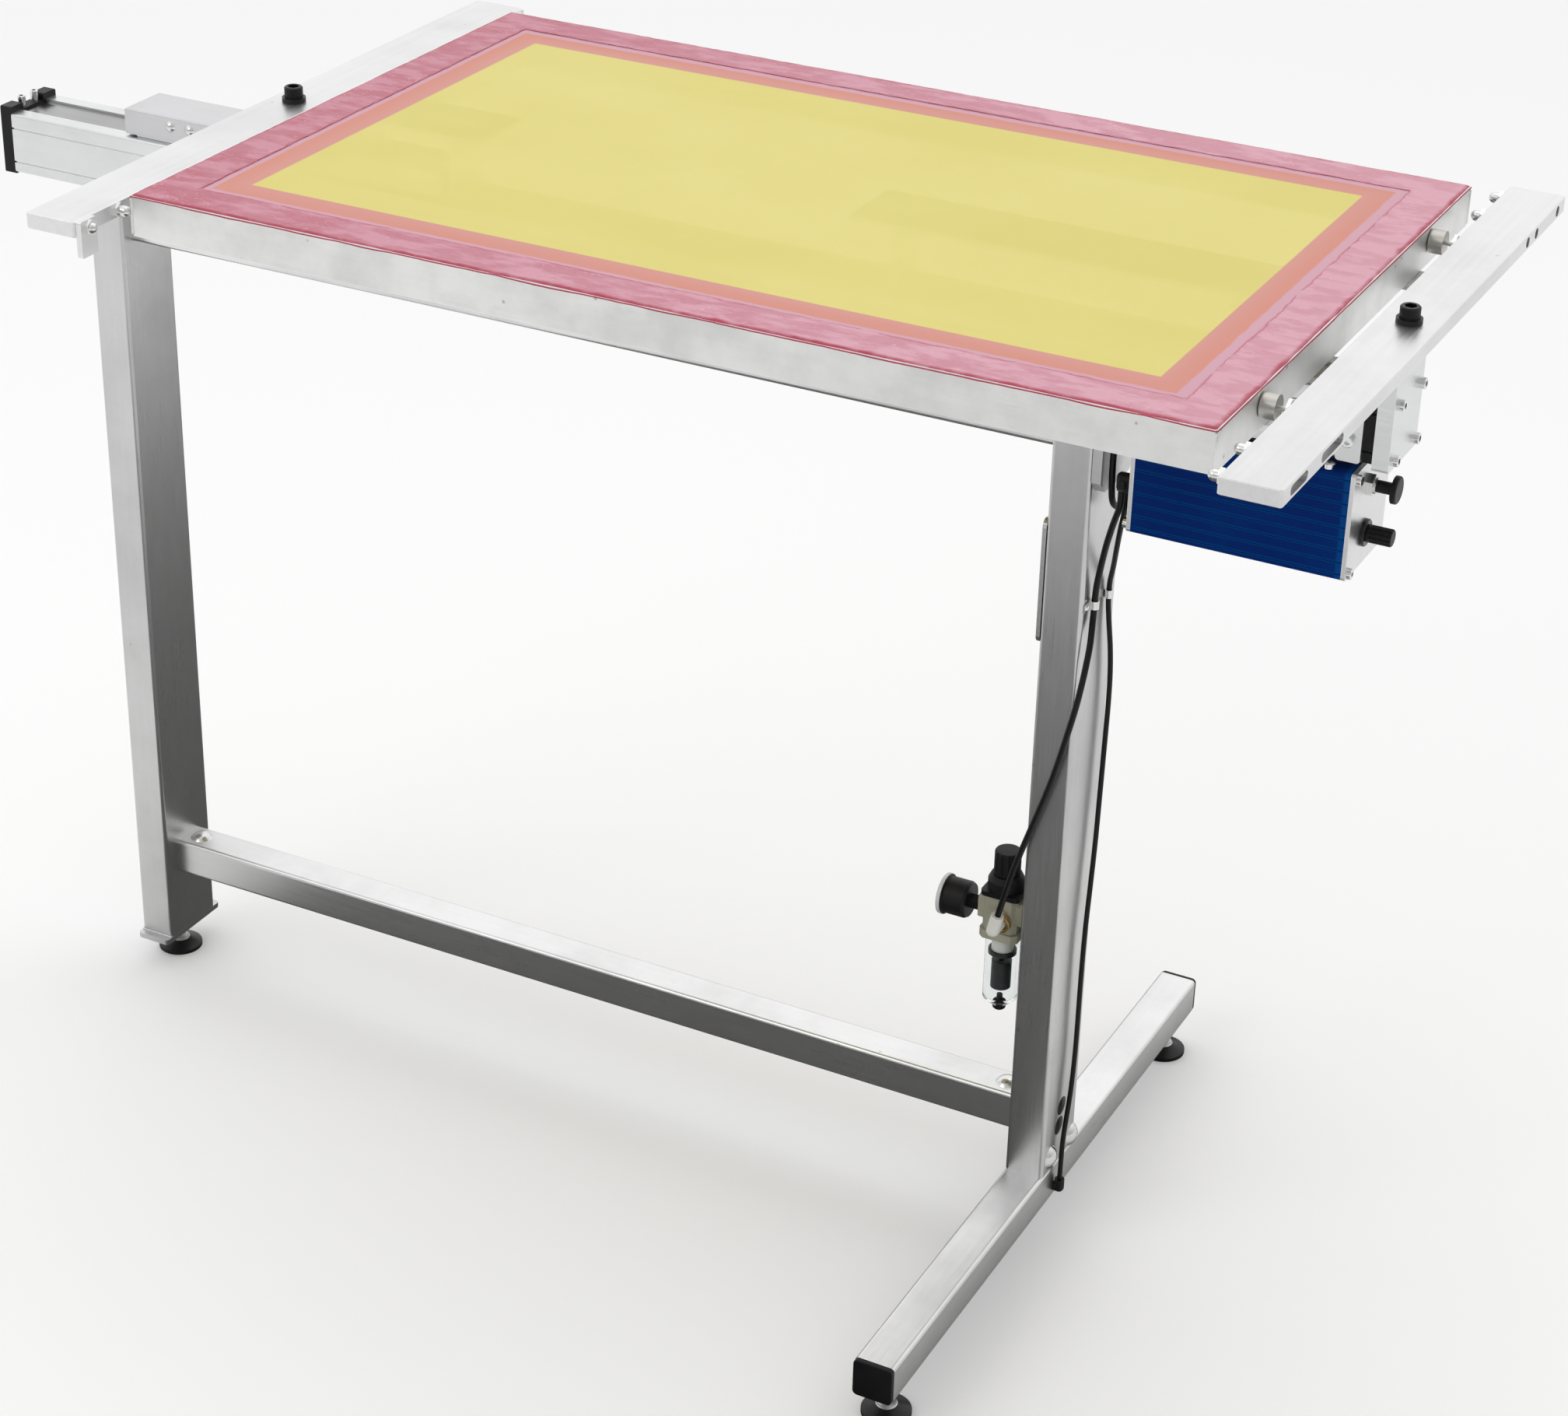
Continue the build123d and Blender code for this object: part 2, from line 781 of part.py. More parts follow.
def tab_plates():
    """Plates under the left bar's two outer stops."""
    height = tab_drop + bar_thickness
    pieces = []
    for y in (left_stop_places[0] - bar_length / 2, bar_length / 2 - left_stop_places[0]):
        plate = Pos(y, bar_top - height / 2) * RectangleRounded(tab_width, height, tab_corner)
        plate -= Pos(y, bar_middle) * Circle(stop_shank / 2 + shank_gap)
        pieces.append(along_x(plate, left_edge, left_edge + tab_thickness))
    return pieces


def clamp_cylinders():
    """Screw-in cartridge cylinders with a hexagon collar against the right bar."""
    pieces = []
    for y in clamp_places:
        body = rod(clamp_body, (0, 0, -clamp_body_length), (0, 0, 0))
        body += hexagon(clamp_collar, clamp_collar_height)
        bore = clamp_rod + 2 * running_gap
        depth = clamp_rod_length + clamp_stroke - (clamp_collar_height + clamp_stroke)
        body -= rod(bore, (0, 0, -depth - 1), (0, 0, clamp_collar_height + 1))
        pieces.append(facing((right_edge, y, bar_middle), (-1, 0, 0)) * body)
    return pieces


def clamp_piston(y):
    """Rod and pad that press the screen frame against the left stops."""
    face = screen_x1 + body_gap
    back = face + clamp_pad_thickness
    pad = rod(clamp_pad, (face, y, bar_middle), (back, y, bar_middle))
    pad = chamfer(pad.edges().group_by(Axis.X)[0], 1)
    return pad + rod(clamp_rod, (back - 1, y, bar_middle), (back + clamp_rod_length, y, bar_middle))


# Carriage

def carriage_block():
    """Sliding block on the beam's rails, with a tongue in the channel."""
    half = carriage_width / 2 - cover_sheet
    low = beam_top + body_gap
    high = rest_top - cover_sheet
    tongue = channel_width / 2 - band_edge_gap
    section = Pos(0, (low + high) / 2) * Rectangle(2 * half, high - low)
    tongue_low = channel_floor + band_thickness + body_gap
    section += Pos(0, (tongue_low + low + 1) / 2) * Rectangle(2 * tongue, low + 1 - tongue_low)
    reach = carriage_length / 2 - block_end_gap
    shape = along_x(section, left_bar_x - reach, left_bar_x + reach)
    for point, side in cover_screw_points():
        x, y, z = point
        inside = y - side * (cover_screw_length + 1)
        shape -= rod(cover_screw + 2 * shank_gap, (x, inside, z), (x, y, z))
    depth = pin_thread_length - (bar_base - rest_top)
    hole = pin_thread + 2 * shank_gap
    return shape - rod(hole, (left_bar_x, 0, rest_top - depth - 1), (left_bar_x, 0, rest_top))


def cover_screw_points():
    points = []
    for side in (-1, 1):
        for offset in cover_screw_places:
            for x in (left_bar_x - offset, left_bar_x + offset):
                points.append(((x, side * carriage_width / 2, rest_top - cover_screw_drop), side))
    return points


def carriage_cover():
    """Folded sheet cover, open underneath."""
    base = beam_top + cover_skirt_gap
    half_length = carriage_length / 2
    half_width = carriage_width / 2
    x = (left_bar_x - half_length, left_bar_x + half_length)
    shape = block(x, (-half_width, half_width), (base, rest_top))
    shape = fillet(shape.faces().sort_by(Axis.Z)[-1].edges(), cover_bend)
    inner_x = (x[0] + cover_sheet, x[1] - cover_sheet)
    inner_y = half_width - cover_sheet
    shape -= block(inner_x, (-inner_y, inner_y), (base - 1, rest_top - cover_sheet))
    for point, side in cover_screw_points():
        px, py, pz = point
        shape -= rod(cover_screw + 2 * shank_gap, (px, py - side * 2 * cover_sheet, pz), (px, py + side, pz))
    hole = pin_thread + 2 * shank_gap
    return shape - rod(hole, (left_bar_x, 0, rest_top - 2 * cover_sheet), (left_bar_x, 0, rest_top + 1))


def cover_screws():
    screw = dome_head(cover_screw_head, cover_screw_height)
    screw += rod(cover_screw, (0, 0, -cover_screw_length), (0, 0, 0))
    return [facing(point, (0, side, 0)) * screw for point, side in cover_screw_points()]


def bar_riser():
    section = Pos(left_bar_x, 0) * RectangleRounded(riser_length, riser_width, 2)
    section -= Pos(left_bar_x, 0) * Circle(pin_thread / 2 + shank_gap)
    return along_z(section, rest_top, bar_base)


# Screen

def screen_plan(inset, corner):
    centre = Pos((screen_x0 + screen_x1) / 2, screen_offset)
    return centre * RectangleRounded(screen_length - 2 * inset, screen_width - 2 * inset, corner)


def screen_frame():
    """Mitred and welded aluminium tube, hollow all the way round."""
    outside = along_z(screen_plan(0, screen_corner) - screen_plan(screen_member, screen_corner),
                      screen_base, screen_top)
    hollow = screen_plan(screen_wall, screen_corner) - screen_plan(screen_member - screen_wall, screen_corner)
    return outside - along_z(hollow, screen_base + screen_wall, screen_top - screen_wall)


def screen_mesh():
    return along_z(screen_plan(mesh_inset, screen_corner), screen_top, screen_top + mesh_thickness)


# Film plates

def film_plate(x0, x1, leg_places):
    """Flat plate on folded legs, each with its foot on the beam, on the side that is given."""
    y = (screen_offset - film_width / 2, screen_offset + film_width / 2)
    shape = block((x0, x1), y, (film_top - film_thickness, film_top))
    leg_y = (-film_leg_width / 2, film_leg_width / 2)
    for x, side in leg_places:
        shape += block(sorted((x, x + side * film_thickness)), leg_y, (beam_top, film_top))
        shape += block(sorted((x, x + side * film_leg_foot)), leg_y, (beam_top, beam_top + film_thickness))
    return shape


def film_plate_left():
    """Short plate with a slot, its leg clear of the carriage."""
    x_leg = left_bar_x + carriage_length / 2 + film_leg_clearance
    x1 = x_leg + film_leg_foot
    shape = film_plate(film_left_x, x1, [(x_leg, 1)])
    x = [x1 - end for end in reversed(film_slot)]
    slot = Pos(sum(x) / 2, screen_offset) * SlotOverall(x[1] - x[0], film_slot_width)
    return shape - along_z(slot, film_top - 2 * film_thickness, film_top + 1)


def film_plate_right():
    """Long plate with a row of holes."""
    x0 = film_right_x - film_right_length
    legs = [(x0 + film_leg_inset, 1), (film_right_x - film_leg_inset, -1)]
    shape = film_plate(x0, film_right_x, legs)
    for i in range(film_hole_count):
        x = film_right_x - film_hole_inset - i * film_hole_pitch
        shape -= rod(film_hole, (x, screen_offset, film_top - 2 * film_thickness),
                     (x, screen_offset, film_top + 1))
    return shape


# Valve box

def beam_bracket():
    """Plate on the right post's outer face, its lower corners cut off."""
    z0 = deck_height - bracket_height
    half = post_depth / 2
    cut = bracket_corner
    corners = [(-half, deck_height), (half, deck_height), (half, z0 + cut), (half - cut, z0),
               (cut - half, z0), (-half, z0 + cut)]
    return along_x(make_face(Polyline(*corners, close=True)), post_face, post_face + bracket_thickness)


def box_hanger():
    """The bracket on the post and the strap along the beam's underside, welded together."""
    y = (-tube_side / 2, tube_side / 2)
    return beam_bracket() + block((post_face + bracket_thickness, box_x1), y, (box_top, deck_height))


def box_screw_points():
    half = box_depth / 2 - box_port_inset
    heights = (box_base + box_port_inset, box_top - box_port_inset)
    return [(side * half, z) for side in (-1, 1) for z in heights]


def valve_box_housing():
    """Ribbed extrusion with a screw port in each corner."""
    middle = Pos(0, (box_base + box_top) / 2)
    section = middle * RectangleRounded(box_depth, box_height, box_corner)
    section -= middle * RectangleRounded(box_depth - 2 * box_wall, box_height - 2 * box_boss, 1)
    section -= middle * RectangleRounded(box_depth - 2 * box_boss, box_height - 2 * box_wall, 1)
    for y, z in box_screw_points():
        section -= Pos(y, z) * Circle(box_screw / 2 + shank_gap)
    first = box_top - (box_height - (rib_count - 1) * rib_pitch) / 2
    for i in range(rib_count):
        for side in (-1, 1):
            place = Pos(side * box_depth / 2, first - i * rib_pitch)
            section -= place * Rectangle(2 * rib_groove_depth, rib_groove)
    x, y = lid_screw_place
    hole = rod(box_screw + 2 * shank_gap, (x, y, box_top - lid_screw_grip - 1), (x, y, box_top + 1))
    return along_x(section, box_x0, box_x1) - hole


def valve_box_end_plates():
    middle = Pos(0, (box_base + box_top) / 2)
    section = middle * RectangleRounded(box_depth, box_height, box_corner)
    for y, z in box_screw_points():
        section -= Pos(y, z) * Circle(box_screw / 2 + shank_gap)
    right = section - Pos(valve_y, button_z) * Circle(bush_sleeve / 2 + shank_gap)
    right -= Pos(valve_y, knob_z) * Circle(knob_sleeve / 2 + shank_gap)
    left = section
    for x, y, z in (hose_a_fitting, hose_b_fitting, hose_c_fitting):
        left -= Pos(y, z) * Circle(fitting_thread / 2 + shank_gap)
    return [along_x(left, box_back, box_x0), along_x(right, box_x1, box_face)]


def valve_box_screws():
    length = box_plate + box_screw_grip
    screw = cap_screw(box_screw_head, box_screw_head_height, box_screw_key, box_screw, length)
    pieces = []
    for y, z in box_screw_points():
        pieces.append(facing((box_face, y, z), (1, 0, 0)) * screw)
        pieces.append(facing((box_back, y, z), (-1, 0, 0)) * screw)
    lid = cap_screw(box_screw_head, box_screw_head_height, box_screw_key, box_screw, lid_screw_grip)
    return pieces + [Pos(*lid_screw_place, box_top) * lid]


def valve_bodies():
    """Two small valves inside the box, each behind its bush."""
    x1 = box_x1 - sleeve_back
    x0 = x1 - valve_length
    pieces = []
    for z, size, bore, depth in ((button_z, valve_block, button_stem, button_stem_depth + button_travel),
                                 (knob_z, knob_block, knob_stem, knob_stem_depth)):
        y = (valve_y - size / 2, valve_y + size / 2)
        shape = block((x0, x1), y, (z - size / 2, z + size / 2))
        shape -= rod(bore + 2 * running_gap, (x1 - depth - 2, valve_y, z), (x1 + 1, valve_y, z))
        pieces.append(shape)
    return pieces


def panel_bushes():
    """Nut bush for the button and flanged bush for the flow knob."""
    back = -(box_plate + sleeve_back)
    button = rod(bush_sleeve, (0, 0, back), (0, 0, 0)) + hexagon(bush_nut_size, bush_nut_height)
    button += rod(bush_collar, (0, 0, bush_nut_height), (0, 0, bush_nut_height + bush_collar_height))
    button -= rod(button_stem + 2 * running_gap, (0, 0, back - 1), (0, 0, button_standoff + 1))
    knob = rod(knob_sleeve, (0, 0, back), (0, 0, 0)) + rod(knob_flange, (0, 0, 0), (0, 0, knob_flange_height))
    knob = chamfer(knob.edges().group_by(Axis.Z)[-1], 1)
    knob -= rod(knob_stem + 2 * running_gap, (0, 0, back - 1), (0, 0, knob_flange_height + 1))
    return [facing((box_face, valve_y, button_z), (1, 0, 0)) * button,
            facing((box_face, valve_y, knob_z), (1, 0, 0)) * knob]


def push_pull_button():
    stem_end = -(box_plate + sleeve_back + button_stem_depth)
    outer = bush_nut_height + button_standoff
    shape = rod(button_stem, (0, 0, stem_end), (0, 0, outer))
    disc = rod(button_disc, (0, 0, outer), (0, 0, outer + button_disc_thickness))
    disc = fillet(disc.edges().group_by(Axis.Z)[-1], button_disc_thickness / 3)
    return facing((box_face, valve_y, button_z), (1, 0, 0)) * (shape + disc)


def flow_knob():
    base = knob_flange_height + body_gap
    shape = Pos(0, 0, base) * Cylinder(knob_diameter / 2, knob_length, align=STANDING)
    shape = chamfer(shape.edges().group_by(Axis.Z)[-1], 1)
    for groove in grip_grooves(knob_diameter, knob_length, base + 3):
        shape -= groove
    shape += rod(knob_stem, (0, 0, -(box_plate + sleeve_back + knob_stem_depth)), (0, 0, base + 1))
    return facing((box_face, valve_y, knob_z), (1, 0, 0)) * shape


# Pressure regulator

def on_regulator(z):
    return Pos(regulator_x, regulator_y, z)


def regulator_body():
    """Cast body with a port boss on each side, a boss on its front and the bowl's ring below."""
    shape = extrude(Rectangle(regulator_core, regulator_depth - 2 * front_boss_depth), regulator_height)
    shape = chamfer(shape.edges().filter_by(Axis.Z), regulator_chamfer)
    ports = extrude(Rectangle(regulator_length, port_boss), port_boss_depth)
    shape += Pos(0, 0, port_boss_rise) * chamfer(ports.edges().filter_by(Axis.X), regulator_chamfer / 2)
    ring = extrude(Rectangle(bowl_ring, regulator_depth), bowl_ring_height)
    shape += chamfer(ring.edges().filter_by(Axis.Z), regulator_chamfer)
    boss_z = elbow_z - regulator_base
    half = regulator_depth / 2
    shape += rod(front_boss, (0, -half, boss_z), (0, half, boss_z))
    return on_regulator(regulator_base) * shape


def regulator_bonnet():
    flange = extrude(RectangleRounded(bonnet_flange, regulator_depth, regulator_chamfer), bonnet_flange_height)
    profile = [(bonnet_diameter / 2, 0), (bonnet_diameter / 2, bonnet_height),
               (bonnet_shoulder / 2, bonnet_height + bonnet_shoulder_height),
               (bonnet_neck / 2, bonnet_height + bonnet_shoulder_height),
               (bonnet_neck / 2, bonnet_height + bonnet_shoulder_height + bonnet_neck_height)]
    return on_regulator(regulator_top) * (turned(profile) + flange)


def regulator_knob():
    base = bonnet_height + bonnet_shoulder_height + body_gap
    shape = Pos(0, 0, base) * Cylinder(regulator_knob_diameter / 2, regulator_knob_height, align=STANDING)
    shape = fillet(shape.edges().group_by(Axis.Z)[-1], 2)
    for groove in grip_grooves(regulator_knob_diameter, regulator_knob_height, base + 4):
        shape -= groove
    bore_top = base + regulator_knob_height - knob_roof
    shape -= rod(bonnet_neck + 2 * running_gap, (0, 0, base - 1), (0, 0, bore_top))
    return on_regulator(regulator_top) * shape


def bowl():
    """Clear cup with a dished floor and a hole for the drain cock."""
    outer = bowl_diameter / 2
    inner = outer - bowl_wall
    dish = bowl_diameter / 5
    outside = turned([(outer - dish, 0), (outer, dish), (outer, bowl_height)])
    inside = turned([(inner - dish, bowl_wall), (inner, bowl_wall + dish), (inner, bowl_height + 1)])
    shape = outside - inside - rod(drain_stem + 2 * running_gap, (0, 0, -1), (0, 0, bowl_wall + 1))
    return on_regulator(regulator_base - bowl_height) * shape


def filter_element():
    """Holder, baffle and filter on a thin stem, hanging in the bowl."""
    shape = None
    z = regulator_base
    for diameter, height in ((holder_diameter, holder_height), (baffle_diameter, baffle_height),
                             (element_stem, element_stem_height), (element_diameter, element_height)):
        z -= height
        step = rod(diameter, (regulator_x, regulator_y, z), (regulator_x, regulator_y, z + height))
        shape = step if shape is None else shape + step
    return shape


def drain_cock():
    shape = Pos(0, 0, -drain_height) * Cylinder(drain_diameter / 2, drain_height, align=STANDING)
    shape = chamfer(shape.edges().group_by(Axis.Z)[0], 1.5)
    shape += rod(drain_stem, (0, 0, -1), (0, 0, drain_stem_height))
    return on_regulator(regulator_base - bowl_height) * shape


def gauge_place():
    """On the body's left face, the gauge's own +Z pointing away from it."""
    return facing((regulator_x - regulator_length / 2, regulator_y, gauge_z), (-1, 0, 0))


def gauge_case():
    """Cup with a rolled rim, on its hexagon stem."""
    radius = gauge_diameter / 2
    base = gauge_stem_length
    top = base + gauge_depth
    neck = radius - gauge_rim_step
    profile = [(radius - gauge_back_slope, base), (neck, base + gauge_back_slope),
               (neck, top - gauge_rim_depth), (radius, top - gauge_rim_depth + gauge_rim_slope),
               (radius, top - gauge_rim_slope), (radius - gauge_rim_slope, top)]
    cup = turned(profile)
    floor = base + gauge_depth - dial_depth - dial_thickness
    cup -= rod(gauge_diameter - 2 * gauge_wall, (0, 0, floor), (0, 0, base + gauge_depth + 1))
    cup -= rod(needle_pin + 2 * running_gap, (0, 0, floor - 4), (0, 0, floor + 1))
    return gauge_place() * (cup + hexagon(gauge_stem_size, gauge_stem_length + 1))


def gauge_dial():
    floor = gauge_stem_length + gauge_depth - dial_depth - dial_thickness
    radius = gauge_diameter / 2 - gauge_wall - shank_gap
    ring = Circle(radius) - Circle(needle_pin / 2 + running_gap)
    return gauge_place() * along_z(ring, floor, floor + dial_thickness)


def gauge_needle():
    """Pointer on its spindle, at its zero mark."""
    floor = gauge_stem_length + gauge_depth - dial_depth
    hand = Polyline((-needle_width / 2, 0), (0, needle_length), (needle_width / 2, 0),
                    (needle_width / 2, -needle_tail), (-needle_width / 2, -needle_tail), close=True)
    shape = along_z(make_face(hand), floor + body_gap, floor + body_gap + 0.6)
    shape += rod(2 * needle_pin, (0, 0, floor + body_gap), (0, 0, floor + body_gap + 1.2))
    shape += rod(needle_pin, (0, 0, floor - dial_thickness - 3), (0, 0, floor + 1))
    return gauge_place() * Rot(0, 0, 135) * shape


def regulator_bracket():
    x = (regulator_x + regulator_length / 2, inner_face)
    half = bracket_arm_width / 2
    middle = regulator_base + regulator_height / 2
    z = (middle - bracket_arm_height / 2, middle + bracket_arm_height / 2)
    shape = block(x, (regulator_y - half, regulator_y + half), z)
    return fillet(shape.edges().filter_by(Axis.X), 3)


def elbow_direction():
    return Vector(tan(radians(elbow_lean)), 0, 1).normalized()


def elbow_end():
    return Vector(*elbow_root) + elbow_direction() * elbow_rise


def elbow_fitting():
    """Push-in elbow on the regulator's front face, its outlet leaning towards the post."""
    x, y, z = elbow_root
    face = regulator_y - regulator_depth / 2
    end = elbow_end()
    shape = rod(elbow_diameter, (x, face, z), (x, y, z)) + Pos(x, y, z) * Sphere(elbow_diameter / 2)
    return shape + rod(elbow_diameter, (x, y, z), (end.X, end.Y, end.Z))


# Strip plate, hoses and their fittings

def strip_plate():
    y = -post_depth / 2 + strip_edge_gap + strip_width / 2
    middle = strip_base + strip_length / 2
    section = Pos(y, middle) * Rot(0, 0, 90) * SlotOverall(strip_length, strip_width)
    shape = along_x(section, inner_face - strip_thickness, inner_face)
    head = dome_head(2 * strip_screw, strip_screw / 2)
    for z in (strip_base + strip_screw_inset, strip_base + strip_length - strip_screw_inset):
        shape += facing((inner_face - strip_thickness, y, z), (-1, 0, 0)) * head
    return shape


def hose_ends(name):
    """The two fittings of a hose, each as the point on its face and the direction out of it."""
    down, up = Vector(0, 0, -1), Vector(0, 0, 1)
    if name == "a":
        x, y, z = hose_a_fitting
        return (elbow_end(), elbow_direction()), (Vector(x, y, z - elbow_leg), down)
    if name == "b":
        x, y, z = hose_b_fitting
        return (Vector(x, y, z - elbow_leg), down), (Vector(*hose_b_foot) + up * foot_fitting_rise, up)
    x, y, z = hose_c_fitting
    return (Vector(x, y, z - elbow_leg), down), (Vector(*hose_c_top) + down * beam_fitting_height, down)


def hose(name, route, diameter):
    """Round tube along straight runs joined by the largest arcs that the runs leave room for."""
    (start, out), (end, back) = hose_ends(name)
    route = [Vector(post_face + out, y, z) for out, y, z in route]
    points = [start, start + out * hose_lead] + route + [end + back * hose_lead, end]
    runs = [b - a for a, b in zip(points, points[1:])]
    radii = []
    for before, after in zip(runs, runs[1:]):
        half_turn = radians(before.get_angle(after)) / 2
        radii.append(0.45 * min(before.length, after.length) / tan(half_turn))
    line = FilletPolyline(*points, radius=radii)
    section = Plane(origin=points[0], z_dir=runs[0]) * Circle(diameter / 2)
    tube = sweep(section, path=line)
    expected = pi * diameter ** 2 / 4 * line.length
    print(f"hose {name}: length {line.length:.0f}, least radius {min(radii):.1f}, "
          f"runs {min(r.length for r in runs):.0f} to {max(r.length for r in runs):.0f}, "
          f"volume is {tube.volume / expected:.4f} of section times length")
    return tube


def elbow_piece(place):
    """Elbow screwed into the box's left plate, its outlet pointing down."""
    x, y, z = place
    shape = rod(fitting_diameter, (x, y, z), (box_back, y, z)) + Pos(x, y, z) * Sphere(fitting_diameter / 2)
    shape += rod(fitting_thread, (box_back - 1, y, z), (box_back + fitting_thread_length, y, z))
    return shape + rod(fitting_diameter, (x, y, z), (x, y, z - elbow_leg))


def hose_fittings():
    """Three elbows on the box, one straight fitting under the beam and one elbow on the foot."""
    pieces = [elbow_piece(place) for place in (hose_a_fitting, hose_b_fitting, hose_c_fitting)]
    x, y, z = hose_c_top
    pieces.append(rod(fitting_diameter, (x, y, z - beam_fitting_height), (x, y, z)))
    x, y, z = hose_b_foot
    foot = rod(fitting_diameter, (post_face, y, z), (x, y, z)) + Pos(x, y, z) * Sphere(fitting_diameter / 2)
    pieces.append(foot + rod(fitting_diameter, (x, y, z), (x, y, z + foot_fitting_rise)))
    return pieces


def hose_clip(place, diameter, side):
    """Strap round a hose, with a tail on the post's face under its screw."""
    x, y, z = place
    inner = diameter / 2 + 2 * shank_gap
    outer = inner + clip_wall
    tail_end = y + side * (outer + clip_tail)
    tail = Pos(post_face + clip_wall / 2, (y + tail_end) / 2) * Rectangle(clip_wall, abs(tail_end - y))
    strap = Pos(x, y) * Circle(outer) + tail
    strap -= Pos(x, y) * Circle(inner)
    strap -= Pos(post_face - outer, y) * Rectangle(2 * outer, 4 * outer)
    shape = along_z(strap, z - clip_height / 2, z + clip_height / 2)
    head = facing((post_face + clip_wall, tail_end - side * clip_tail / 2, z), (1, 0, 0))
    return shape + head * dome_head(clip_screw_head, clip_screw / 2)


def hose_clips():
    return [hose_clip(clip_a_place, thick_hose, -1), hose_clip(clip_b_place, thin_hose, 1)]


# The part's nodes

def all_nodes():
    half_pitch = foot_pitch / 2
    return {
        "left_post": post(left_post_x, base_plate_clearance + base_plate_thickness),
        "left_base_plate": left_base_plate(),
        "right_post": right_post(),
        "foot_tube": foot_tube(),
        "lower_crossbar": lower_crossbar(),
        "upper_crossbar": crossbar(upper_bar_height),
        "coach_bolts": coach_bolts(),
        "tube_plugs": tube_plugs(),
        "foot_left": levelling_foot(left_post_x, 0, base_plate_clearance),
        "foot_front": levelling_foot(right_post_x, -half_pitch, foot_clearance),
        "foot_back": levelling_foot(right_post_x, half_pitch, foot_clearance),
        "linear_beam": linear_beam(),
        "cover_band": cover_band(),
        "beam_end_caps": beam_end_caps(),
        "beam_end_plates": beam_end_plates(),
        "beam_screws": beam_screws(),
        "right_bar": right_bar(),
        "right_bar_pin": bar_pin(right_bar_x),
        "right_stop_bolts": stop_bolts(right_edge, -1, right_stop_places, 0),
        "right_screen_rests": screen_rests(right_edge, -1, screen_x1),
        "clamp_cylinders": clamp_cylinders(),
        "clamp_piston_front": clamp_piston(clamp_places[0]),
        "clamp_piston_back": clamp_piston(clamp_places[1]),
        "carriage_block": carriage_block(),
        "carriage_cover": carriage_cover(),
        "cover_screws": cover_screws(),
        "bar_riser": bar_riser(),
        "left_bar": bar(left_bar_x, 1, left_stop_places),
        "left_bar_pin": bar_pin(left_bar_x),
        "left_stop_bolts": stop_bolts(left_edge, 1, left_stop_places, tab_thickness),
        "left_screen_rests": screen_rests(left_edge, 1, screen_x0) + tab_plates(),
        "screen_frame": screen_frame(),
        "screen_mesh": screen_mesh(),
        "film_plate_left": film_plate_left(),
        "film_plate_right": film_plate_right(),
        "box_hanger": box_hanger(),
        "valve_box_housing": valve_box_housing(),
        "valve_box_end_plates": valve_box_end_plates(),
        "valve_box_screws": valve_box_screws(),
        "valve_bodies": valve_bodies(),
        "panel_bushes": panel_bushes(),
        "push_pull_button": push_pull_button(),
        "flow_knob": flow_knob(),
        "regulator_body": regulator_body(),
        "regulator_bonnet": regulator_bonnet(),
        "regulator_knob": regulator_knob(),
        "regulator_bracket": regulator_bracket(),
        "bowl": bowl(),
        "filter_element": filter_element(),
        "drain_cock": drain_cock(),
        "gauge_case": gauge_case(),
        "gauge_dial": gauge_dial(),
        "gauge_needle": gauge_needle(),
        "elbow_fitting": elbow_fitting(),
        "strip_plate": strip_plate(),
        "hose_a": hose("a", hose_a_route, thick_hose),
        "hose_b": hose("b", hose_b_route, thin_hose),
        "hose_c": hose("c", hose_c_route, thick_hose),
        "hose_fittings": hose_fittings(),
        "hose_clips": hose_clips(),
    }


os.makedirs("parts", exist_ok=True)
for node, shape in all_nodes().items():
    solids = shape if isinstance(shape, list) else [shape]
    solid_list = [solid for piece in solids for solid in piece.solids()]
    shape = solid_list[0] if len(solid_list) == 1 else Compound(children=solid_list)
    export_step(shape, f"parts/{node}.step")
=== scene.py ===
"""Builds the visible film positioning stand around its packed CAD frame."""

from math import pi, radians

import bpy
from bpy.props import FloatProperty, FloatVectorProperty, PointerProperty
from bpy.types import Operator, Panel, PropertyGroup
from mathutils import Matrix, Vector


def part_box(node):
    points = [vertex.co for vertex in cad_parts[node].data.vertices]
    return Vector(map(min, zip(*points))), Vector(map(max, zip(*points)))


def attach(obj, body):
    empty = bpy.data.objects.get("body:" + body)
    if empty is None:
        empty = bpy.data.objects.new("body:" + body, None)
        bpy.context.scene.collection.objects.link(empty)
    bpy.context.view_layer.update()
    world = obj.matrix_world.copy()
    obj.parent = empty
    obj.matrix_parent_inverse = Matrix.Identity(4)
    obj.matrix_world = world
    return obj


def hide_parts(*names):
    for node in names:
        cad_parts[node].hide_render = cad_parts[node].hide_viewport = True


bl_info = {
    "name": "Film Positioning Stand",
    "version": (1, 0, 0),
    "blender": (4, 5, 0),
    "location": "3D View > Sidebar > Film Stand",
    "description": "Builds the pieces and finishes of a film positioning stand",
    "category": "Add Mesh",
}

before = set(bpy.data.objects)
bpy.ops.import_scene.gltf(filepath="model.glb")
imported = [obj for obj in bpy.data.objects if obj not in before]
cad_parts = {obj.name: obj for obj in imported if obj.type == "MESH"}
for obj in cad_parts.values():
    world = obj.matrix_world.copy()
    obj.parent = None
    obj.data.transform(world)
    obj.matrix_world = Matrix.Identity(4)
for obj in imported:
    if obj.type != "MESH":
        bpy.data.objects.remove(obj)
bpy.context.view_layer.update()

RING_STEPS = 56                 # faces round a spun ring
CREASE = radians(35)            # edges sharper than this stay sharp
SOFT_CREASE = radians(60)       # the same on poured and melted pieces
EVEN_GRAIN = (60, 60, 60)       # grain with no direction, coarse and fine
FINE_GRAIN = (90, 90, 90)


# ---------------------------------------------------------------- settings

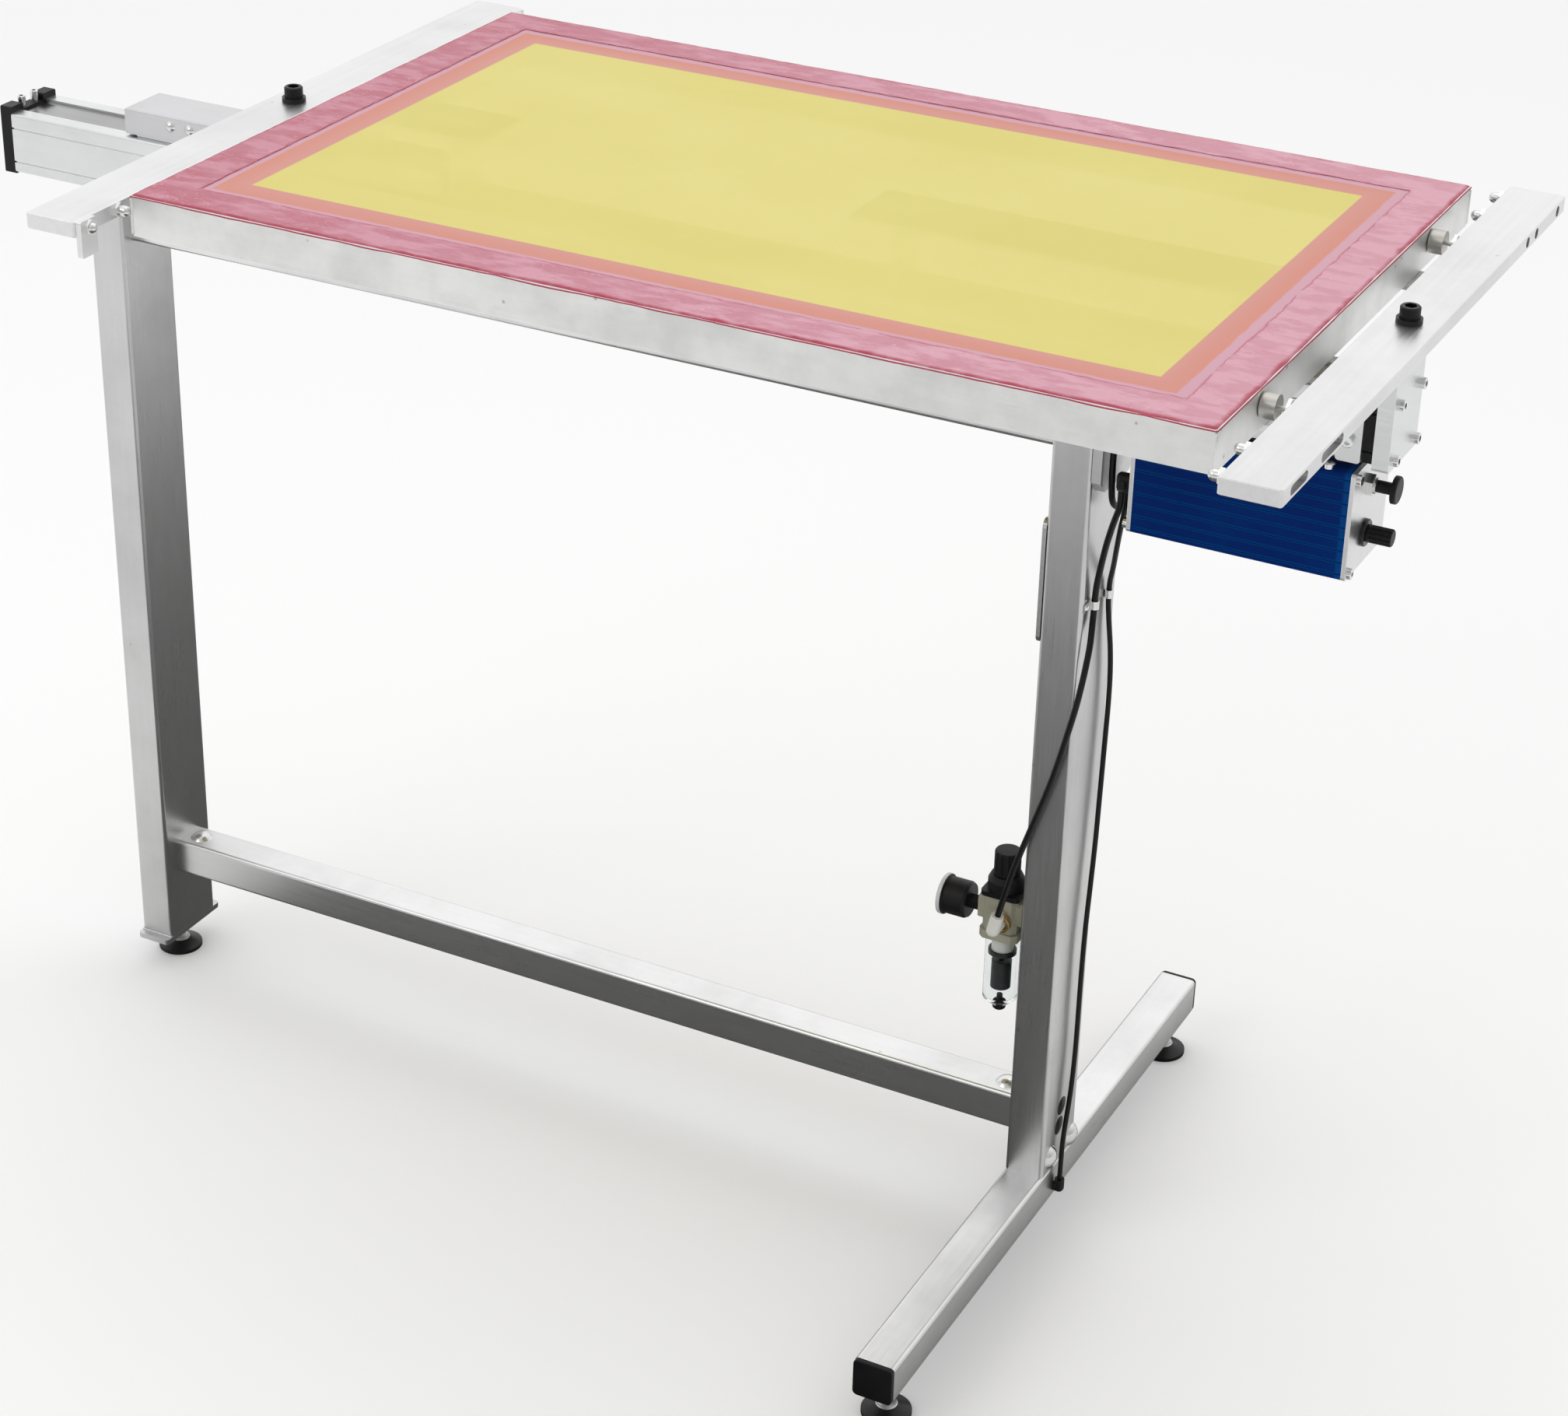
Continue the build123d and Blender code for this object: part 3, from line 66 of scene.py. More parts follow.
def colour_setting(name, description, value):
    """A colour that a user may change, in linear light."""
    return FloatVectorProperty(name=name, description=description, default=value,
                               size=3, min=0, max=1, subtype="COLOR")


def length_setting(name, description, value):
    """A length in metres that a user may change."""
    return FloatProperty(name=name, description=description, default=value,
                         min=0, unit="LENGTH", subtype="DISTANCE", precision=5)


def factor_setting(name, description, value):
    """A share from 0 to 1 that a user may change."""
    return FloatProperty(name=name, description=description, default=value,
                         min=0, max=1, subtype="FACTOR")


class StageSettings(PropertyGroup):
    """Floor, light and camera"""
    floor_colour: colour_setting("Floor", "Colour of the studio floor", (0.97, 0.97, 0.97))
    # Strength of the painted dark patch on the floor under the stand, seen only in reflections
    reflected_floor_shade: factor_setting("Mat", "How dark the floor under the stand is in reflections", 0.91)
    floor_size: length_setting("Floor size", "Side of the square floor", 60.0)
    lens: FloatProperty(name="Lens", description="Focal length of the camera",
                        default=79.09, min=10, unit="CAMERA")
    camera_place: FloatVectorProperty(
        name="Camera", description="Where the camera stands",
        default=(1.4679, -2.6507, 2.0898), size=3, subtype="TRANSLATION", unit="LENGTH")
    sky: FloatProperty(name="Sky", description="Strength of the soft light all round",
                       default=1.16, min=0)
    key_power: FloatProperty(name="Key light", description="Power of the large front light",
                             default=26, min=0, unit="POWER")


class MetalSettings(PropertyGroup):
    """Colours of the steel and aluminium parts"""
    steel: colour_setting("Stand steel", "Brushed steel tubes", (0.58, 0.58, 0.58))
    # The foot steel is the stand steel made lighter: painted light on the foot and crossbars,
    # against the darker steel of the posts
    foot: colour_setting("Foot steel", "Tubes on the ground", (0.74, 0.74, 0.74))
    aluminium: colour_setting("Aluminium", "Milled bars and plates", (0.72, 0.72, 0.725))
    cover: colour_setting("Cover", "Carriage cover under the screen", (0.60, 0.60, 0.61))
    beam: colour_setting("Beam", "Anodised beam extrusion", (0.72, 0.73, 0.73))
    screen: colour_setting("Screen frame", "Worn frame tube", (0.80, 0.80, 0.79))
    bright: colour_setting("Bright steel", "Screws and nuts", (0.72, 0.72, 0.71))
    band: colour_setting("Cover band", "Thin steel band on the beam", (0.34, 0.34, 0.34))
    oxide: colour_setting("Black oxide", "Blackened pins", (0.012, 0.012, 0.013))
    pad: colour_setting("Clamp pads", "Turned pads of the clamps", (0.52, 0.51, 0.47))
    brass: colour_setting("Brass", "Collar of the elbow fitting", (0.62, 0.45, 0.18))


class ScreenSettings(PropertyGroup):
    """Fabric, coating and glue of the screen"""
    coating: colour_setting("Coating", "Dried emulsion", (0.80, 0.71, 0.20))
    margin: colour_setting("Margin", "Sealed fabric beside the glue", (0.63, 0.225, 0.155))
    margin_pale: colour_setting("Pale margin", "Sealed fabric beside the coating",
                                (0.63, 0.275, 0.235))
    seal: colour_setting("Seal", "Thin lacquer at the glue's inner edge", (0.60, 0.33, 0.40))
    glue: colour_setting("Glue", "Glue on the frame", (0.46, 0.115, 0.17))
    # The pale glue is also mixed in more and more towards the frame's right end
    glue_pale: colour_setting("Pale glue", "Glue where it is thin and dusty",
                              (0.66, 0.33, 0.41))
    glue_dark: colour_setting("Glue edge", "Thick glue at the edges", (0.42, 0.045, 0.085))
    coating_left: FloatProperty(name="Coating left", default=-0.291, unit="LENGTH",
                                description="Left end of the coated area")
    coating_right: FloatProperty(name="Coating right", default=0.586, unit="LENGTH",
                                 description="Right end of the coated area")
    coating_front: FloatProperty(name="Coating front", default=-0.237, unit="LENGTH",
                                 description="Front edge of the coated area")
    coating_back: FloatProperty(name="Coating back", default=0.256, unit="LENGTH",
                                description="Back edge of the coated area")
    member: length_setting("Member", "Width of the frame under the glue", 0.0445)
    seal_width: length_setting("Seal width", "Width of the thin lacquer strip", 0.008)
    glue_cell: length_setting("Glue cell", "Size of the glue's mesh cells", 0.003)
    glue_height: length_setting("Glue height", "Height of the glue over the frame", 0.0006)
    glue_lip: length_setting("Glue lip", "How far the glue hangs over the edge", 0.0023)


class FinishSettings(PropertyGroup):
    """Colours of the box, plastics and air unit"""
    blue: colour_setting("Box blue", "Painted valve box", (0.0, 0.019, 0.150))
    # Lighter blue of worn paint, used also as a painted highlight on the box's ribs, ends and
    # edges
    blue_wear_and_highlight: colour_setting("Box lines", "Worn edges of the box's ribs", (0.0, 0.075, 0.30))
    plastic: colour_setting("Black plastic", "Caps, knobs and feet", (0.006, 0.006, 0.007))
    white: colour_setting("White plastic", "Elbow and bowl holder", (0.74, 0.73, 0.68))
    casting: colour_setting("Regulator body", "Painted casting", (0.36, 0.35, 0.27))
    hose: colour_setting("Hose", "Black air hose", (0.004, 0.004, 0.004))
    bowl: colour_setting("Bowl", "Clear plastic bowl", (0.93, 0.95, 0.95))
    dial: colour_setting("Dial", "Face of the pressure gauge", (0.85, 0.85, 0.83))


# ---------------------------------------------------------------- node tools

def set_inputs(tree, node, inputs):
    """Values set, or sockets linked, on a node's inputs."""
    for key, value in inputs.items():
        if isinstance(value, bpy.types.NodeSocket):
            tree.links.new(value, node.inputs[key])
        else:
            node.inputs[key].default_value = value


def add_node(tree, kind, inputs, **settings):
    """A shader node with its settings and inputs."""
    made = tree.nodes.new(kind)
    for key, value in settings.items():
        setattr(made, key, value)
    set_inputs(tree, made, inputs)
    return made


def math_node(tree, operation, first, second=0.0, clamp=False):
    """The result of one sum."""
    return add_node(tree, "ShaderNodeMath", {0: first, 1: second},
                    operation=operation, use_clamp=clamp).outputs[0]


def times(tree, first, second):
    """Two values multiplied."""
    return math_node(tree, "MULTIPLY", first, second)


def vector_sum(tree, operation, first, second=(0, 0, 0)):
    """The outputs of one sum on vectors."""
    return add_node(tree, "ShaderNodeVectorMath", {0: first, 1: second},
                    operation=operation).outputs


def axes(tree, vector):
    """The X, Y and Z of a vector."""
    return add_node(tree, "ShaderNodeSeparateXYZ", {0: vector}).outputs


def mix_colour(tree, factor, first, second):
    """Two colours mixed by a factor."""
    first, second = (colour if isinstance(colour, bpy.types.NodeSocket) else (*colour, 1.0)
                     for colour in (first, second))
    return add_node(tree, "ShaderNodeMix", {0: factor, 6: first, 7: second},
                    data_type="RGBA").outputs[2]


def spread_value(tree, value, low, high, to_low=0.0, to_high=1.0, smooth=False):
    """A value moved from one range into another, and kept inside it."""
    return add_node(tree, "ShaderNodeMapRange",
                    {"Value": value, "From Min": low, "From Max": high,
                     "To Min": to_low, "To Max": to_high},
                    interpolation_type="SMOOTHSTEP" if smooth else "LINEAR").outputs[0]


def noise(tree, vector, scale, detail=3.0, roughness=0.55):
    """Soft random values over the surface."""
    return add_node(tree, "ShaderNodeTexNoise",
                    {"Vector": vector, "Scale": scale, "Detail": detail,
                     "Roughness": roughness}).outputs["Fac"]


def wavering(tree, vector, scale, detail, reach):
    """Coordinates pushed about by noise, so that a border on them wavers."""
    wave = add_node(tree, "ShaderNodeTexNoise",
                    {"Vector": vector, "Scale": scale, "Detail": detail}).outputs["Color"]
    push = vector_sum(tree, "MULTIPLY", wave, (reach, reach, 0.0))[0]
    return vector_sum(tree, "ADD", vector, push)[0]


def new_group(name, inputs, outputs):
    """An empty node group with named sockets, and its two end nodes."""
    tree = bpy.data.node_groups.new(name, "ShaderNodeTree")
    kinds = {"f": "NodeSocketFloat", "v": "NodeSocketVector"}
    for label, kind, value in inputs:
        socket = tree.interface.new_socket(label, in_out="INPUT", socket_type=kinds[kind])
        if value is not None:
            socket.default_value = value
    for label, kind in outputs:
        tree.interface.new_socket(label, in_out="OUTPUT", socket_type=kinds[kind])
    return tree, tree.nodes.new("NodeGroupInput"), tree.nodes.new("NodeGroupOutput")


def place_group(tree, name, inputs):
    """A node group placed in a material with its own values."""
    if name not in bpy.data.node_groups:
        build_groups()
    return add_node(tree, "ShaderNodeGroup", inputs, node_tree=bpy.data.node_groups[name])


def rectangle(tree, vector, low, high, inset=0.0, soft=0.002):
    """1 inside the box between two corners less an inset, seen from above, and 0 outside."""
    return place_group(tree, "Rectangle",
                       {"Vector": vector, "Left": low[0] + inset, "Right": high[0] - inset,
                        "Front": low[1] + inset, "Back": high[1] - inset,
                        "Soft": soft}).outputs[0]


def build_groups():
    """The effects that several finishes share."""
    # Long fine streaks, as an abrasive belt leaves them
    tree, start, end = new_group(
        "Brushed Grain", [("Vector", "v", None), ("Stretch", "v", (200, 200, 5))],
        [("Streaks", "f"), ("Fine", "f")])
    scaled = vector_sum(tree, "MULTIPLY", start.outputs["Vector"],
                        start.outputs["Stretch"])[0]
    coarse = noise(tree, scaled, 1.0, 4.0, 0.6)
    fine = noise(tree, scaled, 4.3, 2.0, 0.5)
    set_inputs(tree, end, {"Streaks": spread_value(tree, coarse, 0.25, 0.75),
                           "Fine": spread_value(tree, fine, 0.3, 0.7)})

    # Blotches from hands and cleaning, and a few small dents, whose darkening in metal() is
    # painted shade
    tree, start, end = new_group(
        "Handling Marks",
        [("Vector", "v", None), ("Scale", "f", 6.0), ("Dent Scale", "f", 45.0)],
        [("Blotches", "f"), ("Dents", "f")])
    cloud = noise(tree, start.outputs["Vector"], start.outputs["Scale"], 5.0, 0.62)
    cells = add_node(tree, "ShaderNodeTexVoronoi",
                     {"Vector": start.outputs["Vector"],
                      "Scale": start.outputs["Dent Scale"]})
    near = spread_value(tree, cells.outputs["Distance"], 0.05, 0.11, 1.0, 0.0, True)
    picked = add_node(tree, "ShaderNodeSeparateColor",
                      {"Color": cells.outputs["Color"]}).outputs[0]
    rare = math_node(tree, "GREATER_THAN", picked, 0.86)
    set_inputs(tree, end, {"Blotches": spread_value(tree, cloud, 0.38, 0.68, smooth=True),
                           "Dents": times(tree, near, rare)})

    # 1 inside a rectangle seen from above, 0 outside it
    tree, start, end = new_group(
        "Rectangle", [("Vector", "v", None), ("Left", "f", -1.0), ("Right", "f", 1.0),
                      ("Front", "f", -1.0), ("Back", "f", 1.0), ("Soft", "f", 0.002)],
        [("Inside", "f")])
    parts = axes(tree, start.outputs["Vector"])
    inside = None
    for axis, low, high in ((0, "Left", "Right"), (1, "Front", "Back")):
        for edge, sign in ((low, 1.0), (high, -1.0)):
            past = math_node(tree, "SUBTRACT", parts[axis], start.outputs[edge])
            past = math_node(tree, "DIVIDE", times(tree, past, sign),
                             start.outputs["Soft"])
            past = math_node(tree, "ADD", past, 0.5, clamp=True)
            inside = past if inside is None else times(tree, inside, past)
    tree.links.new(inside, end.inputs["Inside"])

    # 1 along outer edges, where handling has rubbed the surface bright and where a painted
    # highlight stands in for the light on each edge
    tree, start, end = new_group("Edge Wear And Highlight", [("Radius", "f", 0.0012)], [("Mask", "f")])
    round_normal = add_node(tree, "ShaderNodeBevel", {"Radius": start.outputs["Radius"]},
                            samples=4).outputs["Normal"]
    flat = tree.nodes.new("ShaderNodeNewGeometry").outputs["Normal"]
    turn = vector_sum(tree, "DOT_PRODUCT", round_normal, flat)["Value"]
    tree.links.new(spread_value(tree, turn, 0.99, 0.86), end.inputs["Mask"])

    # Radial ribs round an upright axis through a centre
    tree, start, end = new_group(
        "Turned Ribs", [("Vector", "v", None), ("Centre", "v", (0, 0, 0)), ("Count", "f", 60.0)],
        [("Ribs", "f")])
    arm = vector_sum(tree, "SUBTRACT", start.outputs["Vector"], start.outputs["Centre"])[0]
    parts = axes(tree, arm)
    angle = math_node(tree, "ARCTAN2", parts[1], parts[0])
    wave = math_node(tree, "SINE", times(tree, angle, start.outputs["Count"]))
    tree.links.new(spread_value(tree, wave, -1, 1), end.inputs["Ribs"])

    # Pebbled skin of moulded plastic and cast metal
    tree, start, end = new_group(
        "Moulded Skin", [("Vector", "v", None), ("Scale", "f", 900.0)],
        [("Pebble", "f"), ("Sheen Patches", "f")])
    vector = start.outputs["Vector"]
    set_inputs(tree, end, {
        "Pebble": noise(tree, vector, start.outputs["Scale"], 2.0),
        "Sheen Patches": spread_value(tree, noise(tree, vector, 28.0, 3.0), 0.35, 0.65)})


def new_material(name):
    """An empty material with its Principled shader and Object coordinates."""
    material = bpy.data.materials.new(name)
    material.use_nodes = True
    tree = material.node_tree
    shader = tree.nodes["Principled BSDF"]
    coordinates = tree.nodes.new("ShaderNodeTexCoord").outputs["Object"]
    return material, tree, shader, coordinates


def set_bump(tree, shader, height, strength, distance):
    """Relief of a height on a shader."""
    bump = add_node(tree, "ShaderNodeBump", {"Height": height, "Strength": strength,
                                             "Distance": distance})
    tree.links.new(bump.outputs["Normal"], shader.inputs["Normal"])


def metal(name, colour, stretch, rough=(0.26, 0.38), blotch=0.14, dent_shade=0.3,
          mark_scale=5.0, streak=0.1):
    """Brushed metal with streaks along its length, blotches, dents darkened as painted shade, and
    edges lightened both by rubbing and by a painted highlight.
    """
    material, tree, shader, place = new_material(name)
    grain = place_group(tree, "Brushed Grain", {"Vector": place, "Stretch": stretch})
    marks = place_group(tree, "Handling Marks", {"Vector": place, "Scale": mark_scale})
    edge_wear_and_highlight = place_group(tree, "Edge Wear And Highlight", {}).outputs["Mask"]
    dull = tuple(c * (1 - blotch) for c in colour)
    base = mix_colour(tree, marks.outputs["Blotches"], colour, dull)
    base = mix_colour(tree, spread_value(tree, grain.outputs["Streaks"], 0, 1, 0, streak),
                      base, tuple(min(1, c * 1.4) for c in colour))
    # Dents darkened in colour: painted shade in each dent
    base = mix_colour(tree, spread_value(tree, marks.outputs["Dents"], 0, 1, 0, dent_shade),
                      base, tuple(c * 0.3 for c in colour))
    # Edges lightened: partly rubbed metal, partly a painted highlight along each edge
    base = mix_colour(tree, spread_value(tree, edge_wear_and_highlight, 0, 1, 0, 0.6), base,
                      tuple(min(1, c * 1.35) for c in colour))
    uneven = math_node(tree, "ADD", times(tree, grain.outputs["Fine"], 0.6),
                       times(tree, marks.outputs["Blotches"], 0.4))
    set_inputs(tree, shader, {"Base Color": base, "Metallic": 1.0,
                              "Roughness": spread_value(tree, uneven, 0, 1, *rough)})
    height = math_node(tree, "SUBTRACT", grain.outputs["Fine"],
                       times(tree, marks.outputs["Dents"], 2.0))
    set_bump(tree, shader, height, 0.08, 0.0003)
    return material


def plastic(name, colour, rough=(0.38, 0.52), scale=900.0, bump=0.15, lift=1.5, gloss=0.22):
    """Moulded plastic or painted casting with a pebbled skin and uneven sheen."""
    material, tree, shader, place = new_material(name)
    skin = place_group(tree, "Moulded Skin", {"Vector": place, "Scale": scale}).outputs
    pale = tuple(min(1, c * lift) for c in colour)
    set_inputs(tree, shader, {
        "Base Color": mix_colour(tree, skin["Sheen Patches"], colour, pale),
        "Roughness": spread_value(tree, skin["Sheen Patches"], 0, 1, *rough),
        "Specular IOR Level": gloss})
    set_bump(tree, shader, skin["Pebble"], bump, 0.0002)
    return material


def two_part(name, border, low, high, metals=(0.0, 0.0), rough=(0.3, 0.45),
             relief=(0.1, 0.0002), pitch=None):
    """Two finishes on one node, below and above a height, and a thread's relief above it
    where a pitch is given."""
    material, tree, shader, place = new_material(name)
    height = axes(tree, place)[2]
    above = math_node(tree, "GREATER_THAN", height, border)
    skin = place_group(tree, "Moulded Skin", {"Vector": place, "Scale": 700.0}).outputs
    base = mix_colour(tree, above, low, high)
    wear_and_sheen = mix_colour(tree, above, tuple(c * 1.6 for c in low), tuple(c * 0.85 for c in high))
    set_inputs(tree, shader, {
        "Base Color": mix_colour(tree, skin["Sheen Patches"], base, wear_and_sheen),
        "Roughness": spread_value(tree, skin["Sheen Patches"], 0, 1, *rough),
        "Specular IOR Level": 0.3})
    if metals[0] != metals[1]:
        set_inputs(tree, shader, {"Metallic": spread_value(tree, above, 0, 1, *metals)})
    bumps = skin["Pebble"]
    if pitch:
        bumps = times(tree, math_node(tree, "SINE", times(tree, height, 2 * pi / pitch)), above)
    set_bump(tree, shader, bumps, *relief)
    return material


def dress(material, *names):
    """Gives CAD nodes a material."""
    for name in names:
        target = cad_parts[name]
        if not target.material_slots:
            target.data.materials.append(material)
        for place in target.material_slots:
            place.material = material


# ---------------------------------------------------------------- mesh tools

def start_piece():
    """Object mode with nothing selected."""
    if bpy.context.object and bpy.context.object.mode != "OBJECT":
        bpy.ops.object.mode_set(mode="OBJECT")
    bpy.ops.object.select_all(action="DESELECT")


def pick_faces(piece, wanted):
    """In edit mode, selects the faces whose centre and normal pass a test."""
    bpy.ops.object.mode_set(mode="EDIT")
    bpy.ops.mesh.select_mode(type="FACE")
    bpy.ops.mesh.select_all(action="DESELECT")
    bpy.ops.object.mode_set(mode="OBJECT")
    for face in piece.data.polygons:
        face.select = bool(wanted(face.center, face.normal))
    bpy.ops.object.mode_set(mode="EDIT")


def apply_modifier(piece, kind, name, **settings):
    """Adds a modifier and applies it."""
    modifier = piece.modifiers.new(name, kind)
    for key, value in settings.items():
        setattr(modifier, key, value)
    start_piece()
    bpy.context.view_layer.objects.active = piece
    piece.select_set(True)
    bpy.ops.object.modifier_apply(modifier=name)


def settle(piece, name, material, body, smooth=CREASE):
    """Puts a finished piece's place in its mesh and hands it to its body."""
    start_piece()
    bpy.context.view_layer.objects.active = piece
    piece.select_set(True)
    bpy.ops.object.transform_apply(location=True, rotation=True, scale=True)
    bpy.ops.object.shade_smooth_by_angle(angle=smooth)
    piece.name = piece.data.name = name
    piece.data.materials.clear()
    piece.data.materials.append(material)
    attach(piece, body)
    start_piece()


def join_pieces(parts):
    """Several objects made one."""
    start_piece()
    for part in parts:
        part.select_set(True)
    bpy.context.view_layer.objects.active = parts[0]
    bpy.ops.object.join()
    return parts[0]


def spun_ring(corners, centre, axis, soften):
    """A ring spun from a four-cornered profile round an axis, with soft edges."""
    start_piece()
    bpy.ops.mesh.primitive_plane_add(size=0.01)
    ring = bpy.context.object
    for index, corner in zip((0, 1, 3, 2), corners):
        ring.data.vertices[index].co = corner
    bpy.ops.object.mode_set(mode="EDIT")
    bpy.ops.mesh.select_all(action="SELECT")
    bpy.ops.mesh.delete(type="ONLY_FACE")
    bpy.ops.mesh.select_all(action="SELECT")
    bpy.ops.mesh.spin(steps=RING_STEPS, angle=2 * pi, center=centre, axis=axis)
    bpy.ops.mesh.select_all(action="SELECT")
    bpy.ops.mesh.remove_doubles(threshold=1e-6)
    bpy.ops.mesh.normals_make_consistent(inside=False)
    bpy.ops.object.mode_set(mode="OBJECT")
    apply_modifier(ring, "BEVEL", "Soft edges", width=soften, segments=2)
    return ring


def copied(piece, shift):
    """A copy with its own mesh, moved."""
    start_piece()
    piece.select_set(True)
    bpy.context.view_layer.objects.active = piece
    bpy.ops.object.duplicate(linked=False)
    bpy.ops.transform.translate(value=shift)
    return bpy.context.object


# ---------------------------------------------------------------- operators

class FILMSTAND_OT_stage(Operator):
    """Camera, pale floor and soft studio light"""
    bl_idname = "filmstand.stage"
    bl_label = "Stage"

    def execute(self, context):
        s = context.scene.filmstand_stage
        self.set_camera(context, s)
        self.lay_floor(context, s)
        self.light_room(context, s)
        self.hang_lamps(context, s)
        return {"FINISHED"}

    def set_camera(self, context, s):
        """The camera at the photo's angle."""
        right = Vector((0.88810, 0.45908, 0.02286))
        down = Vector((0.23458, -0.40990, -0.88145))
        forward = Vector((-0.39529, 0.78818, -0.47172))
        data = bpy.data.cameras.new("Camera")
        camera = bpy.data.objects.new("Camera", data)
        context.scene.collection.objects.link(camera)
        data.lens, data.sensor_width, data.clip_end = s.lens, 36.0, 200.0
        turn = Matrix((right, -down, -forward)).transposed().to_4x4()
        camera.matrix_world = Matrix.Translation(s.camera_place) @ turn
        context.scene.camera = camera
        context.scene.view_settings.view_transform = "Standard"

    def lay_floor(self, context, s):
        """A floor pale to the eye and through clear plastic, with a painted dark patch under the
        stand that only reflections see: painted shade in the metal's reflections.
        """
        start_piece()
        bpy.ops.mesh.primitive_plane_add(size=s.floor_size)
        floor = context.object
        floor.name = "studio_floor"
        material, tree, shader, place = new_material("Studio floor")
        tint = noise(tree, place, 3.0, 2.0)
        pale = mix_colour(tree, spread_value(tree, tint, 0, 1, 0, 0.03), s.floor_colour,
                          (1, 1, 1))
        # Painted shade: a dark patch under the stand that only reflection rays see, darkening the
        # metal faces that mirror it
        reflection_shade_patch = rectangle(tree, place, (-0.62, -1.7), (0.50, 2.4), soft=0.09)
        path = tree.nodes.new("ShaderNodeLightPath").outputs
        seen = math_node(tree, "MAXIMUM", path["Is Camera Ray"], path["Is Transmission Ray"])
        unseen = math_node(tree, "SUBTRACT", 1.0, seen)
        shade = times(tree, times(tree, reflection_shade_patch, unseen), s.reflected_floor_shade)
        set_inputs(tree, shader, {
            "Base Color": mix_colour(tree, shade, pale, (0.05, 0.05, 0.05)),
            "Roughness": 1.0, "Specular IOR Level": 0.0})
        floor.data.materials.append(material)

    def light_room(self, context, s):
        """Soft light all round, brighter towards the back left and overhead, and an even
        backdrop where the camera sees it."""
        world = bpy.data.worlds.new("Studio")
        context.scene.world = world
        world.use_nodes = True
        tree = world.node_tree
        way = tree.nodes.new("ShaderNodeTexCoord").outputs["Generated"]
        parts = axes(tree, way)
        side = math_node(tree, "SUBTRACT", times(tree, parts[1], 0.8),
                         times(tree, parts[0], 0.4))
        side = spread_value(tree, side, -0.6, 0.6, 0.55, 1.05, True)
        up = spread_value(tree, parts[2], -0.1, 0.45, 0.6, 1.0, True)
        glow = times(tree, times(tree, side, up), s.sky)
        seen = tree.nodes.new("ShaderNodeLightPath").outputs["Is Camera Ray"]
        backdrop = add_node(tree, "ShaderNodeMix", {0: seen, 2: glow, 3: 0.9}, data_type="FLOAT")
        set_inputs(tree, tree.nodes["Background"],
                   {"Strength": backdrop.outputs[0], "Color": (1, 1, 1, 1)})

    def hang_lamps(self, context, s):
        """Large square lamps in front and overhead."""
        for name, place, aim, size, power in (
                ("Key", (-1.8, -3.2, 3.4), (0, 0, 0.6), 2.6, s.key_power),
                ("Top", (0.4, 0.4, 4.0), (0, 0, 0.8), 3.2, s.key_power * 0.5)):
            light = bpy.data.lights.new(name, "AREA")
            light.shape, light.size, light.energy = "SQUARE", size, power
            lamp = bpy.data.objects.new(name, light)
            context.scene.collection.objects.link(lamp)
            lamp.location = place
            lamp.rotation_euler = (Vector(aim) - Vector(place)).to_track_quat("-Z", "Y").to_euler()


